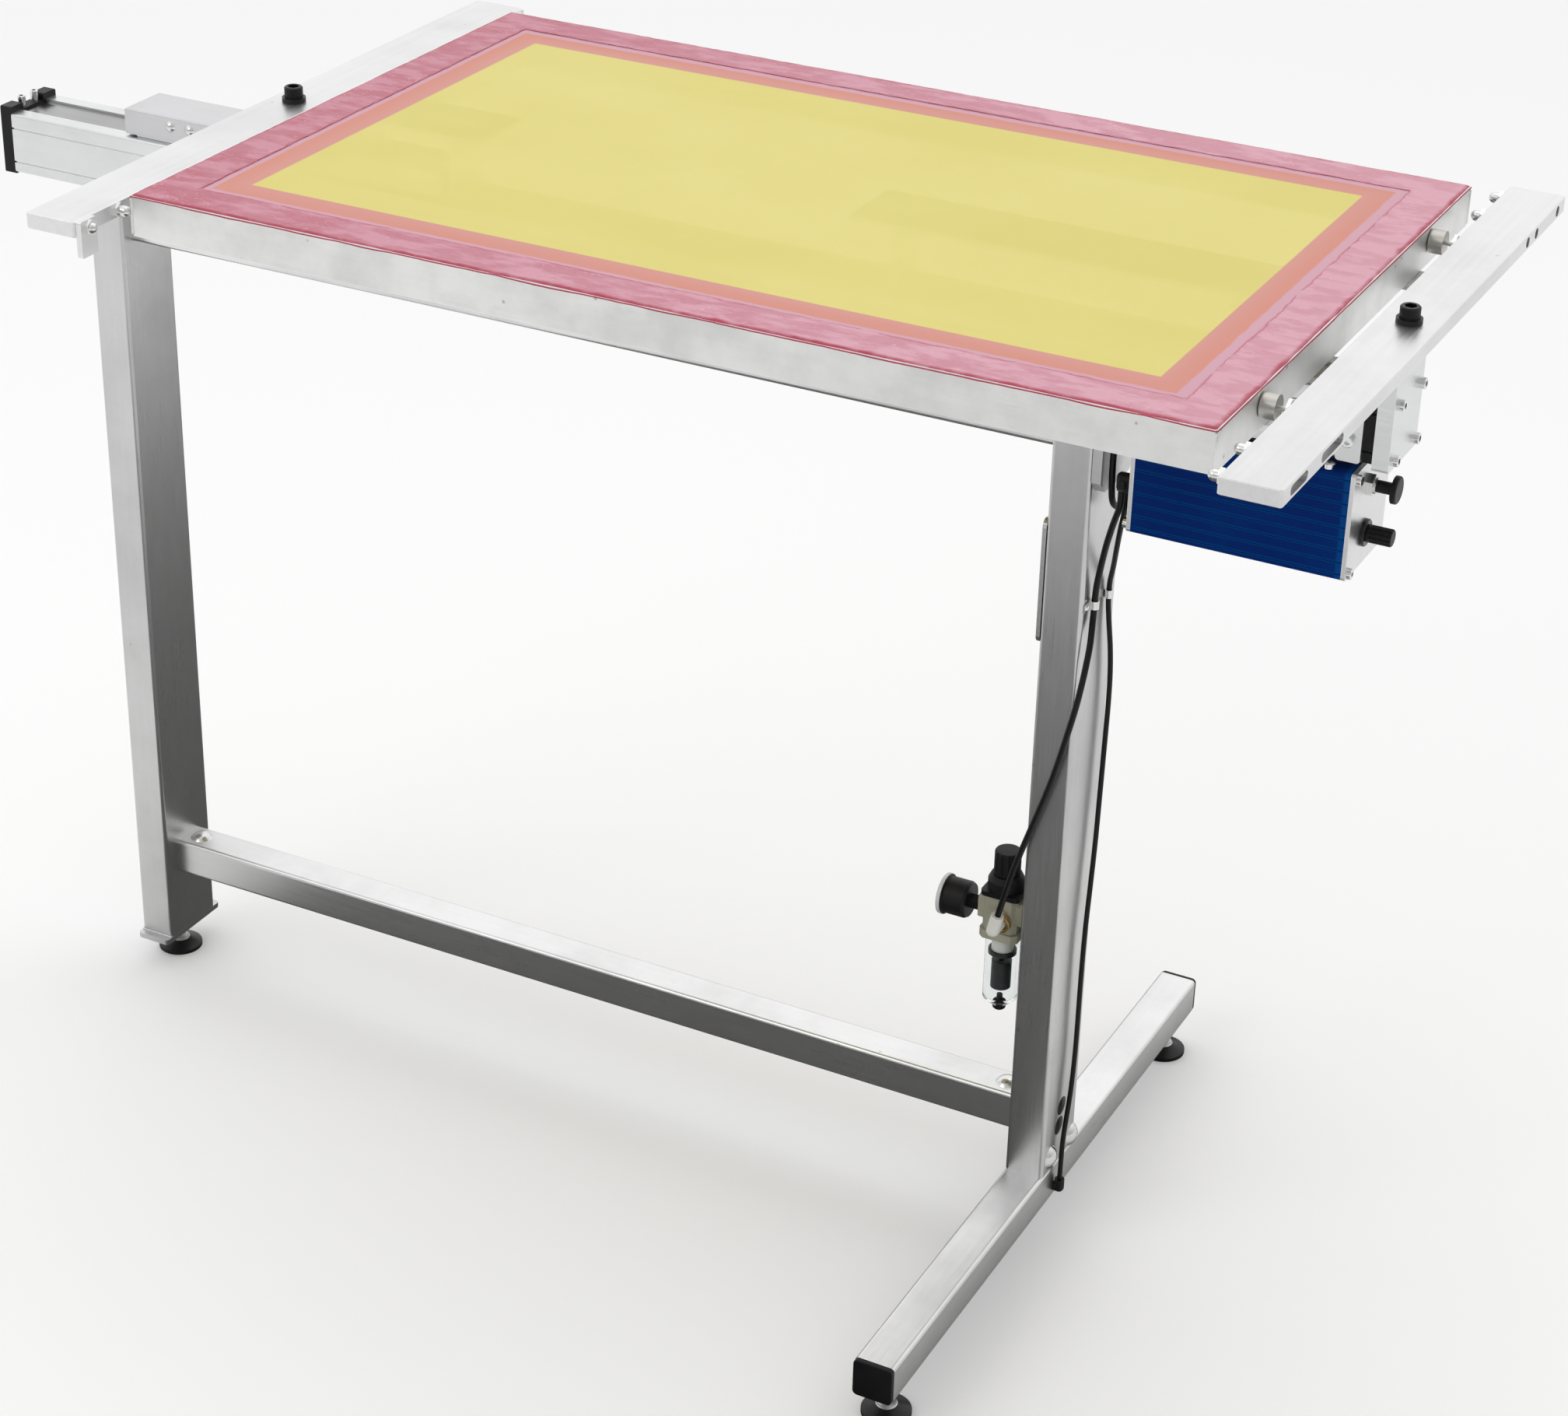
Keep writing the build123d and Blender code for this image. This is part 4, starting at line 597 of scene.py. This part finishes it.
class FILMSTAND_OT_metal_finishes(Operator):
    """Brushed and milled metal on the stand, beam, bars and screen frame"""
    bl_idname = "filmstand.metal_finishes"
    bl_label = "Metal finishes"

    def execute(self, context):
        s = context.scene.filmstand_metal
        upright, along, across = (180, 180, 4), (4, 180, 180), (180, 4, 180)
        dress(metal("Brushed post", s.steel, upright), "left_post", "right_post")
        # Crossbars and foot tube take the lighter copy of the stand steel: painted light, brighter
        # than the posts' steel
        dress(metal("Brushed crossbar", s.foot, along), "lower_crossbar", "upper_crossbar")
        dress(metal("Brushed foot tube", s.foot, across), "foot_tube")
        dress(metal("Base plate steel", s.steel, EVEN_GRAIN), "left_base_plate",
              "box_hanger", "strip_plate", "regulator_bracket")
        dress(metal("Bright steel", s.bright, FINE_GRAIN, (0.16, 0.28), 0.12, 0.1),
              "coach_bolts", "beam_screws", "right_stop_bolts", "left_stop_bolts",
              "cover_screws", "valve_box_screws", "hose_clips", "clamp_cylinders")
        dress(metal("Beam extrusion", s.beam, along, (0.3, 0.4), 0.1, 0.15),
              "linear_beam", "beam_end_plates", "carriage_block", "bar_riser",
              "film_plate_left", "film_plate_right")
        dress(metal("Cover band", s.band, along, (0.16, 0.28), 0.1, 0.1), "cover_band")
        dress(metal("Carriage cover", s.cover, along, (0.32, 0.44), 0.1, 0.2),
              "carriage_cover")
        dress(metal("Milled bar", s.aluminium, across, (0.28, 0.4), 0.1, 0.25, streak=0.16),
              "left_bar", "right_bar", "left_screen_rests", "right_screen_rests")
        dress(metal("Screen frame tube", s.screen, along, (0.36, 0.5), 0.14, 0.6,
                    mark_scale=9.0), "screen_frame")
        dress(metal("Box end plates", s.aluminium, EVEN_GRAIN, (0.28, 0.4), 0.1, 0.2),
              "valve_box_end_plates")
        dress(metal("Clamp pads", s.pad, EVEN_GRAIN, (0.3, 0.42), 0.15, 0.1),
              "clamp_piston_front", "clamp_piston_back")
        dress(self.oxide(s), "right_bar_pin", "left_bar_pin")
        pad_top, between_bushes = 0.0105, 0.85
        dress(two_part("Levelling foot", pad_top, (0.01, 0.01, 0.011), s.bright, (0.0, 1.0),
                       relief=(0.6, 0.0004), pitch=0.00175),
              "foot_left", "foot_front", "foot_back")
        dress(two_part("Panel bushes", between_bushes, (0.008, 0.008, 0.009), s.bright,
                       (0.0, 1.0), (0.22, 0.34)), "panel_bushes")
        return {"FINISHED"}

    def oxide(self, s):
        """Blackened steel with straight knurls round both pin heads."""
        material, tree, shader, place = new_material("Black oxide")
        marks = place_group(tree, "Handling Marks", {"Vector": place, "Scale": 60.0})
        ribs = None
        for name in ("left_bar_pin", "right_bar_pin"):
            low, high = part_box(name)
            turned = place_group(tree, "Turned Ribs",
                                 {"Vector": place, "Centre": (low + high) / 2, "Count": 44.0})
            near = times(tree, turned.outputs[0], rectangle(tree, place, low, high))
            ribs = near if ribs is None else math_node(tree, "ADD", ribs, near)
        upright = axes(tree, tree.nodes.new("ShaderNodeNewGeometry").outputs["Normal"])[2]
        wall = math_node(tree, "LESS_THAN", math_node(tree, "ABSOLUTE", upright), 0.4)
        ribs = times(tree, ribs, wall)
        blotches, pale = marks.outputs["Blotches"], tuple(c * 2.2 for c in s.oxide)
        set_inputs(tree, shader, {"Base Color": mix_colour(tree, blotches, s.oxide, pale),
                                  "Roughness": spread_value(tree, blotches, 0, 1, 0.34, 0.5),
                                  "Metallic": 0.4, "Specular IOR Level": 0.3})
        set_bump(tree, shader, ribs, 0.9, 0.0006)
        return material


class FILMSTAND_OT_plastic_finishes(Operator):
    """Plastics, paint, rubber and clear parts of the box, air unit and feet"""
    bl_idname = "filmstand.plastic_finishes"
    bl_label = "Plastic finishes"

    def execute(self, context):
        s = context.scene.filmstand_finish
        dress(plastic("Black plastic", s.plastic), "tube_plugs", "beam_end_caps",
              "push_pull_button", "flow_knob", "regulator_bonnet", "regulator_knob",
              "gauge_case", "drain_cock", "valve_bodies", "gauge_needle", "hose_fittings")
        dress(plastic("White plastic", s.white, (0.3, 0.4), lift=1.05, gloss=0.4),
              "elbow_fitting")
        dress(plastic("Painted casting", s.casting, (0.35, 0.5), 400.0, 0.3, 1.15),
              "regulator_body")
        dress(plastic("Air hose", s.hose, (0.3, 0.42), 500.0, 0.1), "hose_a", "hose_b",
              "hose_c")
        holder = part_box("filter_element")[1].z - 0.017
        dress(two_part("Filter element", holder, (0.012, 0.012, 0.014), s.white,
                       relief=(0.2, 0.0003)), "filter_element")
        dress(self.box_paint(s), "valve_box_housing")
        dress(self.clear(s), "bowl")
        dress(self.dial_face(s), "gauge_dial")
        return {"FINISHED"}

    def box_paint(self, s):
        """Blue paint with lighter lines on the fine ribs, at the ends and along the edges: partly
        worn paint, partly a painted highlight.
        """
        material, tree, shader, place = new_material("Blue box paint")
        parts = axes(tree, place)
        skin = place_group(tree, "Moulded Skin", {"Vector": place, "Scale": 700.0})
        marks = place_group(tree, "Handling Marks", {"Vector": place, "Scale": 14.0})
        low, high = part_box("valve_box_housing")
        rib_pitch = 0.011
        steps = math_node(tree, "DIVIDE", math_node(tree, "SUBTRACT", parts[2], low.z),
                          rib_pitch)
        # Lighter lines on the ribs, at the right end and along the edges: partly worn paint,
        # partly painted highlight
        line = spread_value(tree, math_node(tree, "PINGPONG", steps, 0.5), 0.40, 0.48, 0, 0.8,
                            True)
        end = spread_value(tree, parts[0], high.x - 0.007, high.x - 0.004, 0, 0.6, True)
        wear_and_sheen = place_group(tree, "Edge Wear And Highlight", {"Radius": 0.0015}).outputs["Mask"]
        light = math_node(tree, "MAXIMUM", math_node(tree, "MAXIMUM", line, end), wear_and_sheen)
        base = mix_colour(tree, light, s.blue, s.blue_wear_and_highlight)
        base = mix_colour(tree, spread_value(tree, marks.outputs["Blotches"], 0, 1, 0, 0.12),
                          base, s.blue_wear_and_highlight)
        sheen = spread_value(tree, skin.outputs["Sheen Patches"], 0, 1, 0.34, 0.46)
        set_inputs(tree, shader, {"Base Color": base, "Roughness": sheen,
                                  "Specular IOR Level": 0.05})
        set_bump(tree, shader, skin.outputs["Pebble"], 0.1, 0.0002)
        return material

    def clear(self, s):
        """Clear plastic with faint haze."""
        material, tree, shader, place = new_material("Clear bowl")
        haze = noise(tree, place, 60.0, 3.0)
        faint = spread_value(tree, haze, 0, 1, 0, 0.15)
        set_inputs(tree, shader, {
            "Base Color": mix_colour(tree, faint, s.bowl, (0.8, 0.82, 0.82)),
            "Roughness": spread_value(tree, haze, 0.3, 0.7, 0.03, 0.12),
            "Transmission Weight": 1.0, "IOR": 1.12})
        return material

    def dial_face(self, s):
        """White face with a ring of black marks over three quarters of a turn."""
        material, tree, shader, place = new_material("Gauge face")
        low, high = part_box("gauge_dial")
        middle = (low + high) / 2
        arm = vector_sum(tree, "SUBTRACT", place, middle)[0]
        parts = axes(tree, arm)
        angle = math_node(tree, "ARCTAN2", parts[1], parts[2])
        reach = vector_sum(tree, "LENGTH", arm)[1]
        marks_a_turn, inner, outer, half_span = 40.0, 0.0115, 0.0145, 2.36
        mark = math_node(tree, "SINE", times(tree, angle, marks_a_turn))
        mark = spread_value(tree, mark, 0.75, 0.9)
        ring = times(tree, math_node(tree, "GREATER_THAN", reach, inner),
                     math_node(tree, "LESS_THAN", reach, outer))
        span = math_node(tree, "LESS_THAN", math_node(tree, "ABSOLUTE", angle), half_span)
        thin = 0.0003
        line = add_node(tree, "ShaderNodeMath", {0: reach, 1: inner + thin, 2: thin},
                        operation="COMPARE").outputs[0]
        ink = times(tree, math_node(tree, "MAXIMUM", line, mark), ring)
        ink = times(tree, ink, span)
        stain = noise(tree, place, 120.0)
        base = mix_colour(tree, ink, s.dial, (0.02, 0.02, 0.02))
        base = mix_colour(tree, spread_value(tree, stain, 0.4, 0.8, 0, 0.08), base,
                          (0.6, 0.58, 0.5))
        set_inputs(tree, shader, {"Base Color": base,
                                  "Roughness": spread_value(tree, stain, 0.3, 0.7, 0.4, 0.5)})
        return material


class FILMSTAND_OT_screen_fabric(Operator):
    """Stretched mesh fabric with its dried coating and sealed margin"""
    bl_idname = "filmstand.screen_fabric"
    bl_label = "Screen fabric"

    def execute(self, context):
        s = context.scene.filmstand_screen
        low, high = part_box("screen_mesh")
        size, middle = high - low, (low + high) / 2
        columns, rows, under_top, thread = 52, 32, 0.0004, 0.0003
        start_piece()
        bpy.ops.mesh.primitive_grid_add(
            x_subdivisions=columns, y_subdivisions=rows, size=1,
            location=(middle.x, middle.y, high.z - under_top))
        sheet = context.object
        sheet.scale = (size.x, size.y, 1)
        apply_modifier(sheet, "SOLIDIFY", "Thread", thickness=thread, offset=0)
        settle(sheet, "screen_fabric", self.fabric(s), "screen")
        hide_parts("screen_mesh")
        return {"FINISHED"}

    def fabric(self, s):
        """Yellow emulsion inside a salmon sealed margin, over a fine weave."""
        material, tree, shader, place = new_material("Coated fabric")
        low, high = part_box("screen_frame")
        patch = noise(tree, place, 7.0, 4.0)
        moved = wavering(tree, place, 55.0, 2.0, 0.003)
        inner = rectangle(tree, place, (s.coating_left, s.coating_front),
                          (s.coating_right, s.coating_back), soft=0.0015)
        unsealed = rectangle(tree, moved, low, high, s.member + s.seal_width)
        paler = rectangle(tree, moved, low, high, 0.067, 0.02)
        yellow = mix_colour(tree, spread_value(tree, patch, 0.35, 0.65, 0, 0.22), s.coating,
                            tuple(c * 0.9 for c in s.coating))
        salmon = mix_colour(tree, spread_value(tree, patch, 0.4, 0.6, 0.15, 0.6), s.margin,
                            s.margin_pale)
        salmon = mix_colour(tree, paler, salmon, s.margin_pale)
        seal = mix_colour(tree, spread_value(tree, patch, 0.35, 0.65, 0, 0.4), s.seal,
                          s.glue_pale)
        outer = mix_colour(tree, unsealed, seal, salmon)
        set_inputs(tree, shader, {"Base Color": mix_colour(tree, inner, outer, yellow),
                                  "Alpha": spread_value(tree, inner, 0, 1, 1.0, 0.82),
                                  "Roughness": spread_value(tree, patch, 0.3, 0.7, 0.42, 0.55),
                                  "Specular IOR Level": 0.3})
        thread_pitch = 0.0008
        threads = [math_node(tree, "SINE", times(tree, part, 2 * pi / thread_pitch))
                   for part in axes(tree, place)[:2]]
        set_bump(tree, shader, math_node(tree, "ADD", *threads), 0.06, 0.0001)
        return material


class FILMSTAND_OT_screen_glue(Operator):
    """Glue and lacquer spread by hand over the frame's top, a little over its outer edge"""
    bl_idname = "filmstand.screen_glue"
    bl_label = "Screen glue"

    def execute(self, context):
        s = context.scene.filmstand_screen
        low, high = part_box("screen_frame")
        size, middle = high - low, (low + high) / 2
        sunk, over = 0.0001, 0.0006
        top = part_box("screen_mesh")[1].z - sunk
        across, deep = int(size.x / s.glue_cell), int(size.y / s.glue_cell)
        start_piece()
        bpy.ops.mesh.primitive_grid_add(x_subdivisions=across, y_subdivisions=deep, size=1,
                                        location=(middle.x, middle.y, top))
        glue = context.object
        glue.scale = (size.x + 2 * over, size.y + 2 * over, 1)
        bpy.ops.object.transform_apply(location=True, rotation=False, scale=True)
        pick_faces(glue, lambda c, n: abs(c.x - middle.x) < size.x / 2 - s.member
                   and abs(c.y - middle.y) < size.y / 2 - s.member)
        bpy.ops.mesh.delete(type="FACE")
        self.lower_rim(glue, middle, size, s.glue_lip)
        bpy.ops.mesh.select_all(action="SELECT")
        bpy.ops.mesh.extrude_region_move(
            TRANSFORM_OT_translate={"value": (0, 0, s.glue_height)})
        bpy.ops.object.mode_set(mode="OBJECT")
        self.group_points(glue, middle, size, top + s.glue_height / 2, s.member)
        for label, group, axis, scale, strength in (
                ("Lumps", "upper", "Z", 0.009, 0.0006), ("Swell", "upper", "Z", 0.04, 0.0008),
                ("Drips", "rim", "Z", 0.045, 0.0022),
                ("Wander X", "edge", "X", 0.016, 0.0025),
                ("Wander Y", "edge", "Y", 0.016, 0.0025)):
            texture = bpy.data.textures.new("Glue " + label, "CLOUDS")
            texture.noise_scale, texture.noise_depth = scale, 2
            apply_modifier(glue, "DISPLACE", label, texture=texture, vertex_group=group,
                           direction=axis, strength=strength, mid_level=0.5,
                           texture_coords="LOCAL")
        settle(glue, "screen_glue", self.lacquer(s, low, high), "screen",
               SOFT_CREASE)
        return {"FINISHED"}

    def lower_rim(self, glue, middle, size, drop):
        """Bends the outermost points down over the frame's edge."""
        bpy.ops.mesh.select_mode(type="VERT")
        bpy.ops.mesh.select_all(action="DESELECT")
        bpy.ops.object.mode_set(mode="OBJECT")
        for point in glue.data.vertices:
            point.select = (abs(point.co.x - middle.x) > size.x / 2
                            or abs(point.co.y - middle.y) > size.y / 2)
        bpy.ops.object.mode_set(mode="EDIT")
        bpy.ops.transform.translate(value=(0, 0, -drop))

    def group_points(self, glue, middle, size, half_way, member):
        """Groups of the points on the glue's top, at its inner edge and on its bent rim."""
        inner_band = 0.004
        upper = glue.vertex_groups.new(name="upper")
        edge = glue.vertex_groups.new(name="edge")
        rim = glue.vertex_groups.new(name="rim")
        for point in glue.data.vertices:
            if point.co.z > half_way:
                upper.add([point.index], 1.0, "REPLACE")
            reach = min(size.x / 2 - abs(point.co.x - middle.x),
                        size.y / 2 - abs(point.co.y - middle.y))
            if abs(reach - member) < inner_band:
                edge.add([point.index], 1.0, "REPLACE")
            if reach < 0:
                rim.add([point.index], 1.0, "REPLACE")

    def lacquer(self, s, low, high):
        """Rose glue, dark where it is thick at the edges, paler in swept streaks and towards the
        right elsewhere.
        """
        material, tree, shader, place = new_material("Glue lacquer")
        wander = 0.010
        moved = wavering(tree, place, 45.0, 4.0, wander)
        mean = Vector((wander / 2, wander / 2, 0))
        edge, ridge, inner = (
            rectangle(tree, moved, low + mean, high + mean, inset, soft)
            for inset, soft in ((0.003, 0.004), (s.member - 0.0015, 0.0015), (s.member, 0.002)))
        streaks = add_node(tree, "ShaderNodeMapping",
                           {"Vector": place, "Rotation": (0, 0, 0.35), "Scale": (14, 40, 1)},
                           vector_type="POINT").outputs[0]
        patch = noise(tree, place, 16.0, 5.0, 0.6)
        swept = noise(tree, streaks, 1.6, 4.0, 0.6)
        fine = noise(tree, place, 120.0, 3.0)
        # Paler towards the frame's right end
        right = spread_value(tree, axes(tree, place)[0], low.x, high.x, 0.0, 0.62)
        streak_and_rightward_paling = math_node(tree, "ADD", spread_value(tree, swept, 0.44, 0.6, 0, 0.55), right,
                          clamp=True)
        base = mix_colour(tree, spread_value(tree, patch, 0.4, 0.62, 0.0, 0.45), s.glue,
                          s.glue_dark)
        base = mix_colour(tree, streak_and_rightward_paling, base, s.glue_pale)
        specks = spread_value(tree, noise(tree, place, 260.0, 3.0), 0.62, 0.72, 0, 0.5)
        specks = times(tree, specks, spread_value(tree, patch, 0.45, 0.6))
        base = mix_colour(tree, specks, base, (0.80, 0.60, 0.64))
        base = mix_colour(tree, edge, s.glue_dark, base)
        line = math_node(tree, "SUBTRACT", ridge, inner, clamp=True)
        base = mix_colour(tree, spread_value(tree, line, 0, 1, 0, 0.8), base, s.glue_dark)
        set_inputs(tree, shader, {"Base Color": base, "Specular IOR Level": 0.35,
                                  "Roughness": spread_value(tree, swept, 0.35, 0.65, 0.3, 0.5)})
        set_bump(tree, shader, math_node(tree, "ADD", times(tree, fine, 0.3),
                                         math_node(tree, "ADD", patch, swept)), 0.25, 0.0005)
        return material


class FILMSTAND_OT_gauge_front(Operator):
    """Pale rim and domed clear window of the pressure gauge"""
    bl_idname = "filmstand.gauge_front"
    bl_label = "Gauge front"

    def execute(self, context):
        low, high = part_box("gauge_case")
        dial_low, dial_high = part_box("gauge_dial")
        x, y, z = low.x, *((dial_low + dial_high) / 2).yz
        reach = (high.y - low.y) / 2
        proud, deep, inside, outside, taper = 0.0012, 0.0030, 0.0030, 0.0008, 0.0006
        bore, rim_top = z + reach - inside, z + reach + outside
        corners = [(x - proud, y, bore), (x + deep, y, bore), (x + deep, y, rim_top),
                   (x - proud, y, rim_top - taper)]
        rim = spun_ring(corners, (x, y, z), (1, 0, 0), 0.0005)
        settle(rim, "gauge_rim", plastic("Pale rim", (0.62, 0.63, 0.63), (0.15, 0.25),
                                         gloss=0.5, lift=1.1), "root")
        pane, lap = 0.0008, 0.0002
        start_piece()
        bpy.ops.mesh.primitive_cylinder_add(
            vertices=64, radius=reach - inside + lap, depth=pane,
            location=(x + pane / 2, y, z), rotation=(0, -pi / 2, 0))
        glass = context.object
        bpy.ops.object.transform_apply(location=True, rotation=True, scale=True)
        pick_faces(glass, lambda c, n: n.x < -0.9)
        for step, rise in ((0.0045, 0.0004), (0.0045, 0.0002), (0.004, 0.0001)):
            bpy.ops.mesh.inset(thickness=step, depth=0)
            bpy.ops.transform.translate(value=(-rise, 0, 0))
        bpy.ops.object.mode_set(mode="OBJECT")
        settle(glass, "gauge_window", bpy.data.materials["Clear bowl"], "root")
        return {"FINISHED"}


class FILMSTAND_OT_fitting_rings(Operator):
    """Release rings where the hoses enter their fittings, and the elbow's brass collar"""
    bl_idname = "filmstand.fitting_rings"
    bl_label = "Fitting rings"

    def execute(self, context):
        s = context.scene.filmstand_metal
        behind_box, height, foot, lip = 0.010, 0.0022, 0.0015, 0.0010
        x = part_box("valve_box_end_plates")[0].x - behind_box
        # Each hose's y, the ring's top, and its bore
        places = ((-0.040, 0.835, 0.0031), (-0.027, 0.828, 0.0026), (0.031, 0.842, 0.0026))
        grey = plastic("Release ring", (0.03, 0.03, 0.032), (0.3, 0.4), gloss=0.3)
        for index, (y, z, inner) in enumerate(places):
            corners = [(x + inner, y, z), (x + inner, y, z - height),
                       (x + inner + foot, y, z - height), (x + inner + lip, y, z)]
            ring = spun_ring(corners, (x, y, z), (0, 0, 1), 0.0002)
            settle(ring, f"release_ring_{index + 1}", grey, "root")
        port_inset, port_z = 0.0085, 0.350
        middle = Vector((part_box("elbow_fitting")[0].x + port_inset,
                         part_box("regulator_body")[0].y, port_z))
        bore, rim, seat, length = 0.0062, 0.0092, 0.0003, 0.0062
        corners = [middle + Vector((out, -depth, 0)) for out, depth in (
            (bore, seat), (bore, length), (rim, length), (rim, seat))]
        collar = spun_ring(corners, middle, (0, 1, 0), 0.0004)
        settle(collar, "elbow_collar",
               metal("Brass", s.brass, FINE_GRAIN, (0.2, 0.32)), "root")
        return {"FINISHED"}


class FILMSTAND_OT_weld_beads(Operator):
    """Weld beads at the left post's base plate and at the screen frame's corners"""
    bl_idname = "filmstand.weld_beads"
    bl_label = "Weld beads"

    def execute(self, context):
        finishes = bpy.data.materials
        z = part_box("left_base_plate")[1].z
        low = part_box("left_post")[0]
        pitch, front_start, side_start = 0.0028, 0.002, 0.004
        front = [(low.x + front_start + pitch * i, low.y, z) for i in range(14)]
        side = [(low.x, low.y + side_start + pitch * i, z) for i in range(26)]
        self.bead("base_weld", front + side, 0.0019, (1.0, 1.0, 0.8),
                  finishes["Base plate steel"], "root", "stand_steel")
        low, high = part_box("screen_frame")
        pitch, start, sunk = 0.0022, 0.003, 0.0004
        corners = [(x, y, low.z + start + pitch * i)
                   for x in (low.x + sunk, high.x - sunk)
                   for y in (low.y + sunk, high.y - sunk) for i in range(15)]
        self.bead("frame_corner_welds", corners, 0.0016, (1.0, 1.0, 1.1),
                  finishes["Screen frame tube"], "screen", "screen_aluminium")
        return {"FINISHED"}

    def bead(self, name, places, size, stretch, material, body, slot):
        """Overlapping ripples of weld metal along a line, melted into one skin."""
        start_piece()
        bpy.ops.mesh.primitive_ico_sphere_add(subdivisions=2, radius=size, location=places[0])
        ripple = bpy.context.object
        ripple.scale = stretch
        bpy.ops.object.transform_apply(location=True, rotation=True, scale=True)
        first = Vector(places[0])
        ripples = [ripple] + [copied(ripple, Vector(place) - first) for place in places[1:]]
        whole = join_pieces(ripples)
        bpy.ops.object.transform_apply(location=True, rotation=True, scale=True)
        apply_modifier(whole, "REMESH", "Melt", mode="VOXEL", voxel_size=0.0006)
        apply_modifier(whole, "SMOOTH", "Soften", factor=0.5, iterations=2)
        settle(whole, name, material, body, SOFT_CREASE)


SETTINGS = (("filmstand_stage", StageSettings), ("filmstand_metal", MetalSettings),
            ("filmstand_screen", ScreenSettings), ("filmstand_finish", FinishSettings))
OPERATORS = (FILMSTAND_OT_stage, FILMSTAND_OT_metal_finishes, FILMSTAND_OT_plastic_finishes,
             FILMSTAND_OT_screen_fabric, FILMSTAND_OT_screen_glue,
             FILMSTAND_OT_gauge_front, FILMSTAND_OT_fitting_rings,
             FILMSTAND_OT_weld_beads)


class FILMSTAND_PT_panel(Panel):
    """Lists the stand's settings and pieces"""
    bl_idname = "FILMSTAND_PT_panel"
    bl_label = "Film Stand"
    bl_space_type = "VIEW_3D"
    bl_region_type = "UI"
    bl_category = "Film Stand"

    def draw(self, context):
        for name, group in SETTINGS:
            box = self.layout.box()
            box.label(text=group.__doc__)
            for setting in group.__annotations__:
                box.prop(getattr(context.scene, name), setting)
        for operator in OPERATORS:
            self.layout.operator(operator.bl_idname)


def register():
    """Makes the classes known to Blender."""
    for name, group in SETTINGS:
        bpy.utils.register_class(group)
        setattr(bpy.types.Scene, name, PointerProperty(type=group))
    for kind in (*OPERATORS, FILMSTAND_PT_panel):
        bpy.utils.register_class(kind)


def unregister():
    """Takes the classes out again."""
    for kind in reversed((*OPERATORS, FILMSTAND_PT_panel)):
        bpy.utils.unregister_class(kind)
    for name, group in reversed(SETTINGS):
        delattr(bpy.types.Scene, name)
        bpy.utils.unregister_class(group)


def main():
    """Builds the whole stand."""
    register()
    for operator in OPERATORS:
        group, name = operator.bl_idname.split(".")
        getattr(getattr(bpy.ops, group), name)()


if __name__ == "__main__":
    main()
